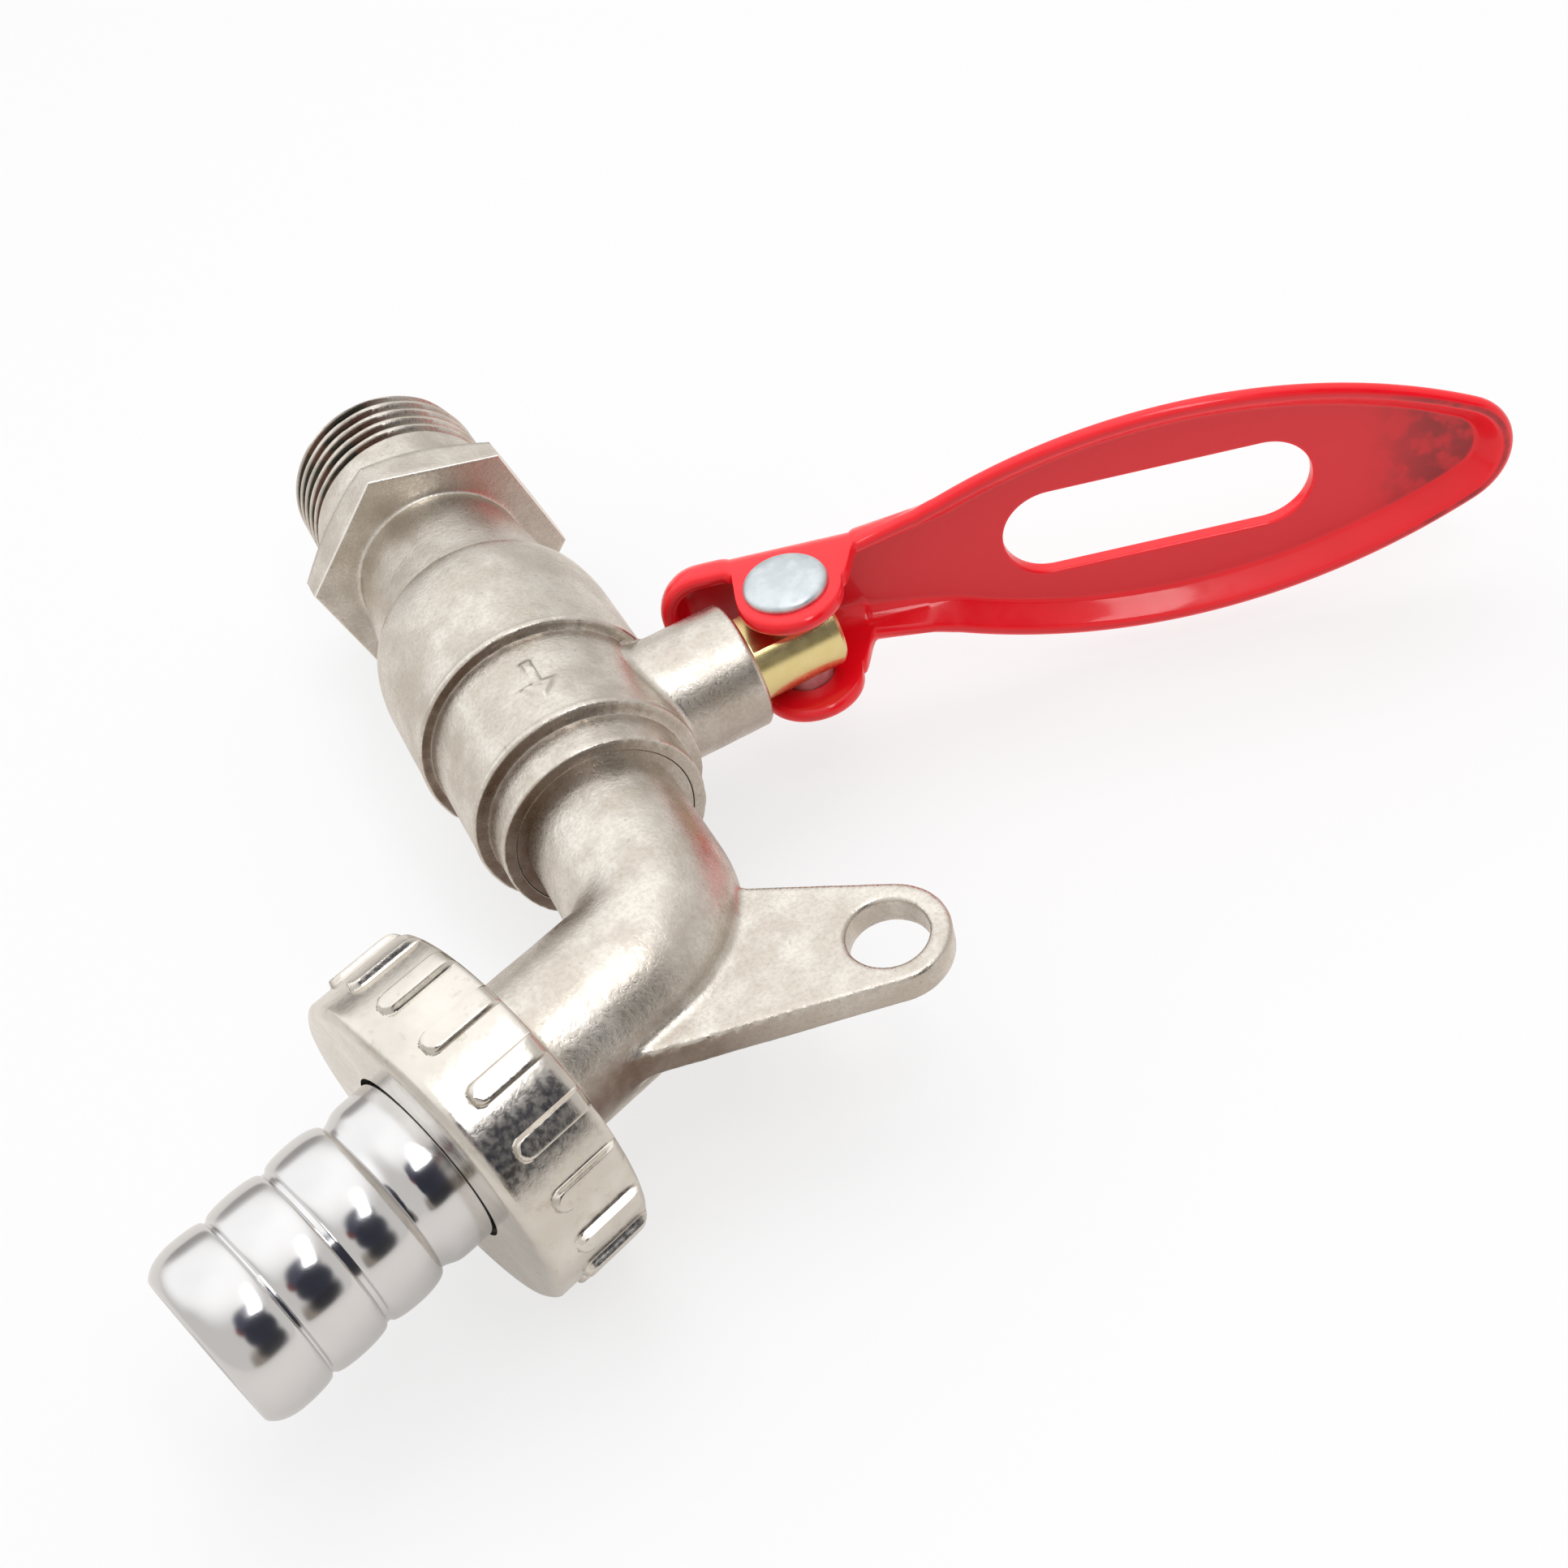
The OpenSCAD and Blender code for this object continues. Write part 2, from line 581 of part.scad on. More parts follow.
module hose_washer() {
    color(black_rubber) on_outlet() translate([0, 0, washer_start]) difference() {
        cylinder(d = flange_d, h = washer_t);
        translate([0, 0, -cut]) cylinder(d = tail_bore_d + 2, h = washer_t + 2 * cut);
    }
}

valve_body();
spout_piece();
ball();
inlet_seat();
outlet_seat();
stem();
stem_washer();
stem_o_ring_lower();
stem_o_ring_upper();
handle();
handle_rivet();
union_nut();
hose_tail();
hose_washer();
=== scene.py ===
import math

import bmesh
import bpy
import numpy as np
from mathutils import Matrix, Vector, noise

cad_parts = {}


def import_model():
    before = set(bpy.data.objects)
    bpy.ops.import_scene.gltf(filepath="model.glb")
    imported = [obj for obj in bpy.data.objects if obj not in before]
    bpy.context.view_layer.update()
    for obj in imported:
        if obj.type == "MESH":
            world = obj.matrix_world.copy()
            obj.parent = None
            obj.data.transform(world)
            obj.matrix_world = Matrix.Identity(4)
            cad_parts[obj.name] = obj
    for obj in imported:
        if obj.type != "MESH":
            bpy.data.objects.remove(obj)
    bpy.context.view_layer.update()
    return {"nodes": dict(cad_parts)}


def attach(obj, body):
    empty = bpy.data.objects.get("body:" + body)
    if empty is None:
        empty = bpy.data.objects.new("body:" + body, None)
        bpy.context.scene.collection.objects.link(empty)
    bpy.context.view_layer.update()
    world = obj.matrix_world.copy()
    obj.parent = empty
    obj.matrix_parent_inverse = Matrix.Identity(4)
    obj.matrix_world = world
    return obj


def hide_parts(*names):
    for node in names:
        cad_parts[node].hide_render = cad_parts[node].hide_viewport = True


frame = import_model()
MM = 0.001
TURN = 2 * math.pi


class Shader:
    """A small builder for node trees."""

    def __init__(self, tree):
        self.tree = tree
        self.tree.nodes.clear()

    def node(self, kind, inputs=None, **props):
        n = self.tree.nodes.new(kind)
        for key, value in props.items():
            setattr(n, key, value)
        for key, value in (inputs or {}).items():
            self.feed(n.inputs[key], value)
        return n

    def feed(self, socket, value):
        if isinstance(value, bpy.types.NodeSocket):
            self.tree.links.new(value, socket)
        else:
            socket.default_value = value

    def maths(self, operation, a, b=0.0, c=0.0, clamp=False):
        n = self.node("ShaderNodeMath", operation=operation, use_clamp=clamp)
        self.feed(n.inputs[0], a)
        self.feed(n.inputs[1], b)
        self.feed(n.inputs[2], c)
        return n.outputs[0]

    def dot(self, a, b):
        return self.node("ShaderNodeVectorMath", {0: a, 1: b}, operation="DOT_PRODUCT").outputs["Value"]

    def remap(self, value, lo, hi, out_lo=0.0, out_hi=1.0):
        n = self.node("ShaderNodeMapRange", interpolation_type="SMOOTHSTEP")
        for key, v in (("Value", value), ("From Min", lo), ("From Max", hi),
                       ("To Min", out_lo), ("To Max", out_hi)):
            self.feed(n.inputs[key], v)
        return n.outputs["Result"]

    def mix(self, factor, a, b, blend="MIX"):
        n = self.node("ShaderNodeMix", data_type="RGBA", blend_type=blend)
        self.feed(n.inputs[0], factor)
        self.feed(n.inputs[6], a)
        self.feed(n.inputs[7], b)
        return n.outputs[2]

    def noise(self, coords, scale, detail=3.0, roughness=0.55, stretch=None):
        if stretch:
            coords = self.node("ShaderNodeMapping", {"Vector": coords, "Scale": stretch}).outputs[0]
        n = self.node("ShaderNodeTexNoise", {"Vector": coords, "Scale": scale, "Detail": detail,
                                             "Roughness": roughness})
        return n.outputs["Fac"]

    def bump(self, height, strength, distance, normal=None):
        n = self.node("ShaderNodeBump", {"Strength": strength, "Distance": distance, "Height": height})
        if normal is not None:
            self.feed(n.inputs["Normal"], normal)
        return n.outputs[0]


def rgb(r, g, b):
    """A display colour from 0 to 255, as the linear colour that a shader wants."""
    def lin(v):
        v /= 255.0
        return v / 12.92 if v <= 0.04045 else ((v + 0.055) / 1.055) ** 2.4
    return (lin(r), lin(g), lin(b), 1.0)


def material(name):
    m = bpy.data.materials.new(name)
    m.use_nodes = True
    s = Shader(m.node_tree)
    out = s.node("ShaderNodeOutputMaterial")
    bsdf = s.node("ShaderNodeBsdfPrincipled")
    s.tree.links.new(bsdf.outputs[0], out.inputs[0])
    coords = s.node("ShaderNodeTexCoord").outputs["Object"]
    return m, s, bsdf, coords


def cast_nickel(name="cast_nickel", light=rgb(225, 219, 210), dark=rgb(203, 195, 184)):
    """Satin nickel over a shot-blasted casting: fine grain and soft patches, painted shade on the step faces,
    a painted highlight on the hexagon's edge by the neck, and painted shade in the thread's grooves."""
    m, s, bsdf, at = material(name)
    patches = s.noise(at, 260, 3)
    grain = s.noise(at, 2600, 4, 0.65)
    pits = s.noise(at, 1300, 5, 0.7)
    tone = s.mix(s.remap(patches, 0.35, 0.68), dark, light)
    tone = s.mix(s.remap(grain, 0.42, 0.62, 0.0, 0.22), tone, rgb(172, 162, 148))
    pit = s.remap(pits, 0.62, 0.72)
    tone = s.mix(s.maths("MULTIPLY", pit, 0.35), tone, rgb(120, 108, 92))
    place = s.node("ShaderNodeSeparateXYZ", {0: at})
    facing = s.dot(s.node("ShaderNodeNewGeometry").outputs["Normal"], (1.0, 0.0, 0.0))
    # Painted shade: the step faces that turn toward +X get a dark brown, fading toward the top.
    step = s.maths("MULTIPLY", s.remap(facing, 0.8, 0.97), s.remap(patches, 0.3, 0.7, 0.7, 0.95))
    step = s.maths("MULTIPLY", step, s.remap(place.outputs[2], -0.006, 0.009, 1.0, 0.3))
    step = s.maths("MULTIPLY", step, s.remap(place.outputs[0], 0.045, 0.048))
    tone = s.mix(step, tone, rgb(104, 82, 68))
    radius = s.node("ShaderNodeVectorMath", {0: at, 1: (0.0, 1.0, 1.0)}, operation="MULTIPLY").outputs[0]
    radius = s.node("ShaderNodeVectorMath", {0: radius}, operation="LENGTH").outputs["Value"]
    # Painted highlight: a bright line along the hexagon's edge next to the neck, where its rounded edge would catch
    # light.
    painted_light_mask = s.maths("MULTIPLY", s.remap(facing, 0.1, 0.35), s.remap(facing, 0.85, 0.98, 1.0, 0.0))
    painted_light_mask = s.maths("MULTIPLY", painted_light_mask, s.remap(radius, 0.0114, 0.0117))
    painted_light_mask = s.maths("MULTIPLY", painted_light_mask, s.remap(place.outputs[0], 0.0199, 0.0201))
    painted_light_mask = s.maths("MULTIPLY", painted_light_mask, s.remap(place.outputs[0], 0.0206, 0.0208, 1.0, 0.0))
    tone = s.mix(painted_light_mask, tone, rgb(253, 250, 244))
    # Painted shade: the thread's grooves darkened to near black, brown in patches, more on the lower near side.
    painted_groove_shade = s.maths("MULTIPLY", s.remap(radius, 0.01022, 0.01046, 1.0, 0.0), s.remap(radius, 0.0088, 0.0092))
    painted_groove_shade = s.maths("MULTIPLY", painted_groove_shade, s.remap(place.outputs[0], 0.0125, 0.0130, 1.0, 0.0))
    side = s.maths("DIVIDE", s.dot(at, (0.0, -0.80, -0.60)), radius)
    painted_groove_shade = s.maths("MULTIPLY", painted_groove_shade, s.remap(side, 0.4, 0.85, 0.1, 0.95))
    tone = s.mix(painted_groove_shade, tone, s.mix(s.remap(patches, 0.45, 0.6), rgb(34, 36, 28), rgb(92, 58, 44)))
    s.feed(bsdf.inputs["Base Color"], tone)
    s.feed(bsdf.inputs["Metallic"], 1.0)
    s.feed(bsdf.inputs["Roughness"], s.remap(grain, 0.35, 0.65, 0.25, 0.35))
    low = s.bump(pits, 0.3, 0.00010)
    s.feed(bsdf.inputs["Normal"], s.bump(grain, 0.45, 0.00005, low))
    return m


def turned_nickel():
    """Nickel over a turned face, for the union nut."""
    m, s, bsdf, at = material("turned_nickel")
    patches = s.noise(at, 160, 3)
    grain = s.noise(at, 1800, 3, 0.6)
    blot = s.noise(at, 700, 4, 0.65)
    tone = s.mix(s.remap(patches, 0.35, 0.7), rgb(208, 202, 193), rgb(226, 221, 213))
    tone = s.mix(s.remap(blot, 0.56, 0.72, 0.0, 0.35), tone, rgb(176, 166, 148))
    s.feed(bsdf.inputs["Base Color"], tone)
    s.feed(bsdf.inputs["Metallic"], 1.0)
    s.feed(bsdf.inputs["Roughness"], s.remap(grain, 0.35, 0.65, 0.16, 0.26))
    low = s.bump(blot, 0.2, 0.00008)
    s.feed(bsdf.inputs["Normal"], s.bump(grain, 0.2, 0.00004, low))
    return m


def chrome():
    m, s, bsdf, at = material("bright_chrome")
    patches = s.noise(at, 300, 3)
    s.feed(bsdf.inputs["Base Color"], s.mix(patches, rgb(212, 211, 211), rgb(222, 221, 221)))
    s.feed(bsdf.inputs["Metallic"], 1.0)
    s.feed(bsdf.inputs["Roughness"], s.remap(patches, 0.3, 0.7, 0.11, 0.15))
    s.feed(bsdf.inputs["Normal"], s.bump(s.noise(at, 420, 2), 0.12, 0.00006))
    return m


def brass():
    m, s, bsdf, at = material("stem_brass")
    lines = s.noise(at, 1.0, 3, 0.6, (700, 700, 700))
    tone = s.mix(s.remap(lines, 0.35, 0.65), rgb(229, 212, 150), rgb(233, 216, 157))
    s.feed(bsdf.inputs["Base Color"], tone)
    s.feed(bsdf.inputs["Metallic"], 1.0)
    s.feed(bsdf.inputs["Roughness"], s.remap(lines, 0.3, 0.7, 0.24, 0.28))
    s.feed(bsdf.inputs["Normal"], s.bump(s.noise(at, 900, 2), 0.06, 0.00003))
    return m


def red_paint():
    """Gloss red stove paint over a pressed sheet, with a slight orange peel, painted shade as a duller red on
    the web's inner face than on the rim, and a patch of painted shade inside the tip."""
    m, s, bsdf, at = material("red_paint")
    peel = s.noise(at, 700, 3, 0.5)
    wide = s.noise(at, 90, 2)
    tone = s.mix(s.remap(wide, 0.3, 0.7), rgb(232, 6, 26), rgb(240, 12, 32))
    lean = math.radians(20.4)
    geo = s.node("ShaderNodeNewGeometry")
    # Painted shade: the web's inner face gets a duller red than the rim.
    flat = s.remap(s.dot(geo.outputs["Normal"], (math.cos(lean), 0.0, -math.sin(lean))), 0.9, 0.99)
    tone = s.mix(s.maths("MULTIPLY", flat, 0.85), tone, rgb(212, 22, 34))
    # Painted shade: a dark red patch on the web near the tip, inside the rim.
    reach = s.dot(at, (math.sin(lean), 0.0, math.cos(lean)))
    painted_light_mask = s.maths("MULTIPLY", s.remap(reach, 0.099, 0.107), s.remap(s.noise(at, 420, 3), 0.38, 0.6, 0.25, 0.8))
    tone = s.mix(s.maths("MULTIPLY", painted_light_mask, flat), tone, rgb(128, 12, 20))
    s.feed(bsdf.inputs["Base Color"], tone)
    s.feed(bsdf.inputs["Roughness"], s.remap(peel, 0.3, 0.7, 0.28, 0.4))
    s.feed(bsdf.inputs["Specular IOR Level"], 0.3)
    s.feed(bsdf.inputs["Coat Weight"], 0.5)
    s.feed(bsdf.inputs["Coat Roughness"], 0.08)
    s.feed(bsdf.inputs["Normal"], s.bump(peel, 0.2, 0.00006))
    return m


def bright_rivet():
    m, s, bsdf, at = material("bright_rivet")
    blotch = s.noise(at, 700, 3)
    tone = s.mix(s.remap(blotch, 0.35, 0.7), rgb(200, 208, 212), rgb(218, 224, 227))
    s.feed(bsdf.inputs["Base Color"], tone)
    s.feed(bsdf.inputs["Metallic"], 1.0)
    s.feed(bsdf.inputs["Roughness"], s.remap(blotch, 0.3, 0.7, 0.36, 0.46))
    s.feed(bsdf.inputs["Normal"], s.bump(blotch, 0.15, 0.00005))
    return m


def white_plastic():
    m, s, bsdf, at = material("seat_plastic")
    cloud = s.noise(at, 400, 3)
    s.feed(bsdf.inputs["Base Color"], s.mix(cloud, rgb(226, 226, 218), rgb(240, 240, 234)))
    s.feed(bsdf.inputs["Roughness"], s.remap(cloud, 0.3, 0.7, 0.4, 0.5))
    return m


def black_rubber():
    m, s, bsdf, at = material("seal_rubber")
    cloud = s.noise(at, 900, 4)
    s.feed(bsdf.inputs["Base Color"], s.mix(cloud, rgb(24, 24, 25), rgb(46, 46, 47)))
    s.feed(bsdf.inputs["Roughness"], s.remap(cloud, 0.3, 0.7, 0.6, 0.75))
    s.feed(bsdf.inputs["Normal"], s.bump(cloud, 0.3, 0.00005))
    return m


CAST = cast_nickel()
TURNED = turned_nickel()
CHROME = chrome()
BRASS = brass()
RED = red_paint()
RIVET = bright_rivet()
PLASTIC = white_plastic()
RUBBER = black_rubber()

LOOKS = {
    "valve_body": CAST, "spout_piece": CAST, "union_nut": TURNED, "hose_tail": CHROME, "ball": CHROME,
    "stem": BRASS, "handle": RED, "handle_rivet": RIVET, "inlet_seat": PLASTIC, "outlet_seat": PLASTIC,
    "stem_washer": PLASTIC, "stem_o_ring_lower": RUBBER, "stem_o_ring_upper": RUBBER,
    "hose_washer": RUBBER,
}
for name, look in LOOKS.items():
    for slot in frame["nodes"][name].material_slots:
        slot.material = look


def to_object(name, points, faces):
    """A mesh object from points in millimetres."""
    mesh = bpy.data.meshes.new(name)
    mesh.from_pydata((np.asarray(points) * MM).tolist(), [], faces)
    obj = bpy.data.objects.new(name, mesh)
    bpy.context.scene.collection.objects.link(obj)
    return obj


def loft(name, rings, loop=True):
    """A closed skin over rings of points, [row, column, xyz]. A loop joins the last ring to the first,
    and otherwise the two end rings are capped."""
    rows, cols = rings.shape[:2]
    i = np.arange(rows if loop else rows - 1)[:, None]
    j = np.arange(cols)[None, :]
    k = (i + 1) % rows
    n = (j + 1) % cols
    quads = np.stack([i * cols + j, i * cols + n, k * cols + n, k * cols + j], -1).reshape(-1, 4).tolist()
    if not loop:
        quads.append(list(range(cols))[::-1])
        quads.append([(rows - 1) * cols + c for c in range(cols)])
    return to_object(name, rings.reshape(-1, 3), quads)


def boolean(target, tool, operation):
    """Joins the tool to the target, or cuts it away, and deletes the tool."""
    change = target.modifiers.new("change", "BOOLEAN")
    change.solver = "MANIFOLD"
    change.operation = operation
    change.object = tool
    graph = bpy.context.evaluated_depsgraph_get()
    mesh = bpy.data.meshes.new_from_object(target.evaluated_get(graph))
    target.modifiers.clear()
    target.data = mesh
    bpy.data.objects.remove(tool)


def dress(obj, body, node, look, limit=38):
    """Smooth shading with true edges, the material, and the piece's place in the frame."""
    bm = bmesh.new()
    bm.from_mesh(obj.data)
    bmesh.ops.recalc_face_normals(bm, faces=bm.faces)
    limit = math.radians(limit)
    for face in bm.faces:
        face.smooth = True
        face.material_index = 0
    for edge in bm.edges:
        edge.smooth = len(edge.link_faces) == 2 and edge.calc_face_angle(0.0) < limit
    bm.to_mesh(obj.data)
    bm.free()
    obj.data.materials.clear()
    obj.data.materials.append(look)
    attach(obj, body)
    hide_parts(node)


def step01(x):
    x = np.clip(x, 0.0, 1.0)
    return x * x * (3 - 2 * x)


def rough(points, size, shift=0.0):
    """Smooth noise from -1 to 1 at points in millimetres, with features of that size."""
    flat = np.asarray(points, float).reshape(-1, 3) / size + shift
    return np.array([noise.noise(Vector(p)) for p in flat]).reshape(np.shape(points)[:-1])


def about_pipe(x, a, r):
    return np.stack([x + 0 * a, r * np.cos(a), r * np.sin(a)], -1)


OUTLET = np.array([82.2, 0.0, 0.0])
FALL = math.radians(72)
DOWN = np.array([math.cos(FALL), 0.0, -math.sin(FALL)])
SIDE = np.array([-math.sin(FALL), 0.0, -math.cos(FALL)])


def about_outlet(s, a, r):
    s, a, r = (v[..., None] for v in np.broadcast_arrays(s, a, r))
    return OUTLET + s * DOWN + r * (np.cos(a) * SIDE + np.sin(a) * np.array([0.0, 1.0, 0.0]))


def valve_body():
    """Inlet thread, hexagon, neck, ball chamber with its bands, and the stem boss."""
    cols = 300
    a = math.radians(15.4) + TURN * np.arange(cols) / cols
    flat = 12.0 / np.cos((a - math.radians(15.4)) % (math.pi / 3) - math.pi / 6)
    rows = []

    def row(x, r):
        rows.append((x + 0 * a, r + 0 * a))

    for x, r in ((0.5, 6.7), (0.0, 7.1), (0.0, 8.2), (0.0, 9.25)):
        row(x, r)
    pitch, crest, depth = 1.814, 10.4775, 1.05
    for x in np.arange(0.0, 10.2, 0.165):
        phase = (x / pitch - a / TURN) % 1.0
        tooth = 1 - np.clip((np.abs(phase - 0.5) - 0.07) / 0.33, 0, 1)
        fade = 1 - step01((x - 8.7) / 1.3)
        row(x, np.minimum(9.3775 + x, crest - depth * fade * step01(tooth)))
    for x in np.linspace(10.4, 14.5, 9):
        row(x, crest)
    for x, r in ((14.7, 10.45), (15.55, 9.65), (15.6, 9.75), (15.6, 10.5), (15.6, 11.15)):
        row(x, r)
    cross = 15.6 + (flat - 11.3) * math.tan(math.radians(35))
    for t in (0.03, 0.2, 0.4, 0.6, 0.8):
        rows.append((15.6 + t * (cross - 15.6), 11.3 + t * (flat - 11.3)))
    rows.append((cross - 0.09, flat - 0.1))
    rows.append((cross + 0.1, flat))
    for t in (0.2, 0.4, 0.6, 0.8):
        rows.append((cross + t * (20.22 - cross), flat))
    for x, r in ((20.22, 0.0), (20.31, 0.02), (20.38, 0.09), (20.4, 0.18)):
        rows.append((x + 0 * a, flat - r))
    for t in (0.1, 0.25, 0.4, 0.55, 0.7, 0.85):
        rows.append((20.4 + 0 * a, flat - 0.18 + t * (9.35 - flat + 0.18)))
    for t in (0, 30, 60, 90):
        row(20.8 - 0.4 * math.cos(math.radians(t)), 9.35 - 0.4 * math.sin(math.radians(t)))
    for x in np.linspace(21.4, 33.0, 20):
        row(x, 8.95 + (10.42 - 8.95) * (x - 20.8) / 12.7)
    for x, r in ((33.3, 10.38), (33.5, 10.42), (33.62, 10.55), (33.8, 10.66)):
        row(x, r)
    for t in np.radians(np.arange(12, 91, 6)):
        row(33.5 + 6.1 * (1 - math.cos(t)), 10.45 + 1.8 * math.sin(t))
    for x in np.linspace(40.3, 49.7, 17):
        row(x, 12.25)

    def lip(x, r, low, burr=0.07):
        """A rounded edge with a slight burr, the face below it and the hollow at its foot."""
        row(x - 0.75, r + 0.3 * burr)
        row(x - 0.5, r + burr)
        for t in (20, 45, 70):
            t = math.radians(t)
            row(x - 0.42 + 0.42 * math.sin(t), r + burr - 0.42 + 0.42 * math.cos(t))
        row(x, r + burr - 0.45)
        row(x, (r + low) / 2)
        row(x + 0.02, low + 0.2)
        row(x + 0.1, low + 0.05)
        row(x + 0.25, low)

    lip(50.6, 12.25, 11.15)
    for x in np.arange(51.15, 61.7, 0.27):
        row(x, 11.15)
    lip(62.6, 11.15, 9.8)
    for x in np.linspace(63.3, 65.5, 6):
        row(x, 9.8)
    row(65.9, 9.82)
    row(66.2, 9.8)
    for x, r in ((66.38, 9.74), (66.47, 9.62), (66.5, 9.45), (66.5, 9.0), (66.5, 8.65), (66.45, 8.6)):
        row(x, r)
    for x, r in ((60.0, 8.6), (54.0, 8.6), (47.47, 8.6), (47.465, 8.5), (47.465, 6.8), (47.4, 6.7),
                 (36.0, 6.7), (24.0, 6.7), (12.0, 6.7), (3.0, 6.7)):
        row(x, r)
    x = np.array([p[0] for p in rows])
    r = np.array([p[1] for p in rows])
    outside = (x < 66.47) & (r > 8.62)
    where = about_pipe(x, a[None, :], r)
    skin_part = np.where(x < 50, r > 8.62, step01((r - 9.0) / 0.4))
    r = r + skin_part * step01((x - 20.6) / 1.5) * 0.035 * rough(where, 4.5)
    at = x.copy()
    for spot in (33.6, 50.6, 62.6, 66.5):
        rim = about_pipe(spot + 0 * a, a, 11.0)
        ragged = rough(rim, 1.3, 7.0) * 0.08 + rough(rim, 0.6, 3.0) * 0.035
        weight = np.exp(-((at - spot) / 0.55) ** 2) * skin_part
        r = r + 0.7 * weight * ragged
        x = x + weight * ragged
    p = at - 57.0
    q = 11.15 * (a[None, :] - math.radians(179.5))
    shaft = np.maximum(np.abs(q) - 0.5, np.abs(p + 1.0) - 1.9)
    head = np.maximum((np.abs(q) - 1.75) * 0.8 + (p - 0.4) * 0.64, 0.4 - p)
    mark = step01((0.18 - np.minimum(shaft, head)) / 0.36)
    mark = mark * (0.85 + 0.3 * rough(where, 0.9, 11.0))
    r = r + np.where(outside & (x > 51.5) & (x < 61.5), 0.45 * mark, 0.0)
    body = loft("tap_casting", about_pipe(x, a[None, :], r))

    b = TURN * np.arange(120) / 120
    bx, by = np.cos(b), np.sin(b)

    def height(d, level=None):
        """How high the body stands under a point d from the stem's axis."""
        px, py = 54.7 + d * bx, d * by
        base = 11.15 + (12.25 - 11.15) * (1 - step01((px - 50.3) / 0.7)) if level is None else level
        return np.sqrt(base ** 2 - py ** 2)

    rings = []
    for d in (2.0, 4.3):
        rings.append((d, height(d, 9.9)))
    rings.append((7.0, height(7.0, 9.9)))
    for t in np.radians((0, 20, 40, 60, 80)):
        d = 6.3 + 0.7 * (1 - math.sin(t))
        rings.append((d, height(d) - 0.04 + 0.7 * (1 - math.cos(t))))
    top = height(6.3) + 0.75
    for t in np.linspace(0, 1, 14):
        rings.append((6.3, top + (19.05 - top) * t))
    for d, z in ((6.27, 19.2), (6.18, 19.35), (6.0, 19.5), (5.85, 19.6), (5.0, 19.6), (4.6, 19.6), (3.0, 19.6)):
        rings.append((d, z + 0 * b))
    pts = np.array([np.stack([54.7 + d * bx, d * by, z], -1) for d, z in rings])
    side = (pts[..., 2] > 12.5) & (np.hypot(pts[..., 0] - 54.7, pts[..., 1]) > 6.1)
    push = np.where(side, 0.03 * rough(pts, 2.2, 5.0), 0.0)[..., None]
    pts = pts + push * np.stack([bx, by, 0 * b], -1)[None]
    boss = loft("boss", pts, loop=False)
    boolean(body, boss, "UNION")
    bore = []
    for d, z in ((2.0, 5.0), (5.5, 5.0), (5.5, 11.12), (4.3, 11.12), (4.3, 19.35), (4.5, 19.62), (4.5, 21.0), (2.0, 21.0)):
        bore.append(np.stack([54.7 + d * bx, d * by, z + 0 * b], -1))
    boolean(body, loft("bore", np.array(bore), loop=False), "DIFFERENCE")
    dress(body, "tap_body", "valve_body", CAST)


def skin(field, lo, hi, step):
    """The surface where a field is zero, as points and quads, each point drawn onto the surface."""
    axes = [np.arange(p, q + step, step) for p, q in zip(lo, hi)]
    grid = np.meshgrid(*axes, indexing="ij")
    d = field(*grid)
    n = [s - 1 for s in d.shape]
    inner = (slice(0, -1), slice(1, None))
    count = np.zeros(n, int)
    for i in (0, 1):
        for j in (0, 1):
            for k in (0, 1):
                count += d[inner[i], inner[j], inner[k]] < 0
    active = (count > 0) & (count < 8)
    index = np.full(n, -1)
    index[active] = np.arange(active.sum())
    cell = np.argwhere(active)
    total = np.zeros((len(cell), 3))
    hits = np.zeros(len(cell))
    for axis in range(3):
        u, v = [k for k in range(3) if k != axis]
        for i in (0, 1):
            for j in (0, 1):
                start = cell.copy()
                start[:, u] += i
                start[:, v] += j
                end = start.copy()
                end[:, axis] += 1
                p, q = d[tuple(start.T)], d[tuple(end.T)]
                cross = (p < 0) != (q < 0)
                t = np.where(cross, p / np.where(cross, p - q, 1.0), 0.0)
                spot = start.astype(float)
                spot[:, axis] += t
                total += np.where(cross[:, None], spot, 0.0)
                hits += cross
    points = np.array(lo) + step * total / hits[:, None]
    quads = []
    for axis in range(3):
        u, v = (axis + 1) % 3, (axis + 2) % 3
        first = [slice(None)] * 3
        second = [slice(None)] * 3
        first[axis] = slice(0, -1)
        second[axis] = slice(1, None)
        p, q = d[tuple(first)] < 0, d[tuple(second)] < 0
        spots = np.argwhere(p != q)
        spots = spots[(spots[:, u] > 0) & (spots[:, v] > 0) & (spots[:, u] < n[u]) & (spots[:, v] < n[v])]
        outward = p[tuple(spots.T)]
        around = []
        for i, j in ((1, 1), (0, 1), (0, 0), (1, 0)):
            c = spots.copy()
            c[:, u] -= i
            c[:, v] -= j
            around.append(index[tuple(c.T)])
        around = np.stack(around, -1)
        quads.append(np.where(outward[:, None], around, around[:, ::-1]))
    h = 0.02
    for _ in range(3):
        x, y, z = points.T
        g = np.stack([field(x + h, y, z) - field(x - h, y, z), field(x, y + h, z) - field(x, y - h, z),
                      field(x, y, z + h) - field(x, y, z - h)], -1) / (2 * h)
        length = np.maximum((g ** 2).sum(-1), 0.05)
        move = -field(x, y, z)[:, None] * g / length[:, None]
        points = points + np.clip(move, -0.5 * step, 0.5 * step)
    return points, np.concatenate(quads).tolist()


def blend(p, q, k):
    """The union of two fields with a fillet of about k."""
    h = np.clip(0.5 + 0.5 * (q - p) / k, 0, 1)
    return q * (1 - h) + p * h - k * h * (1 - h)


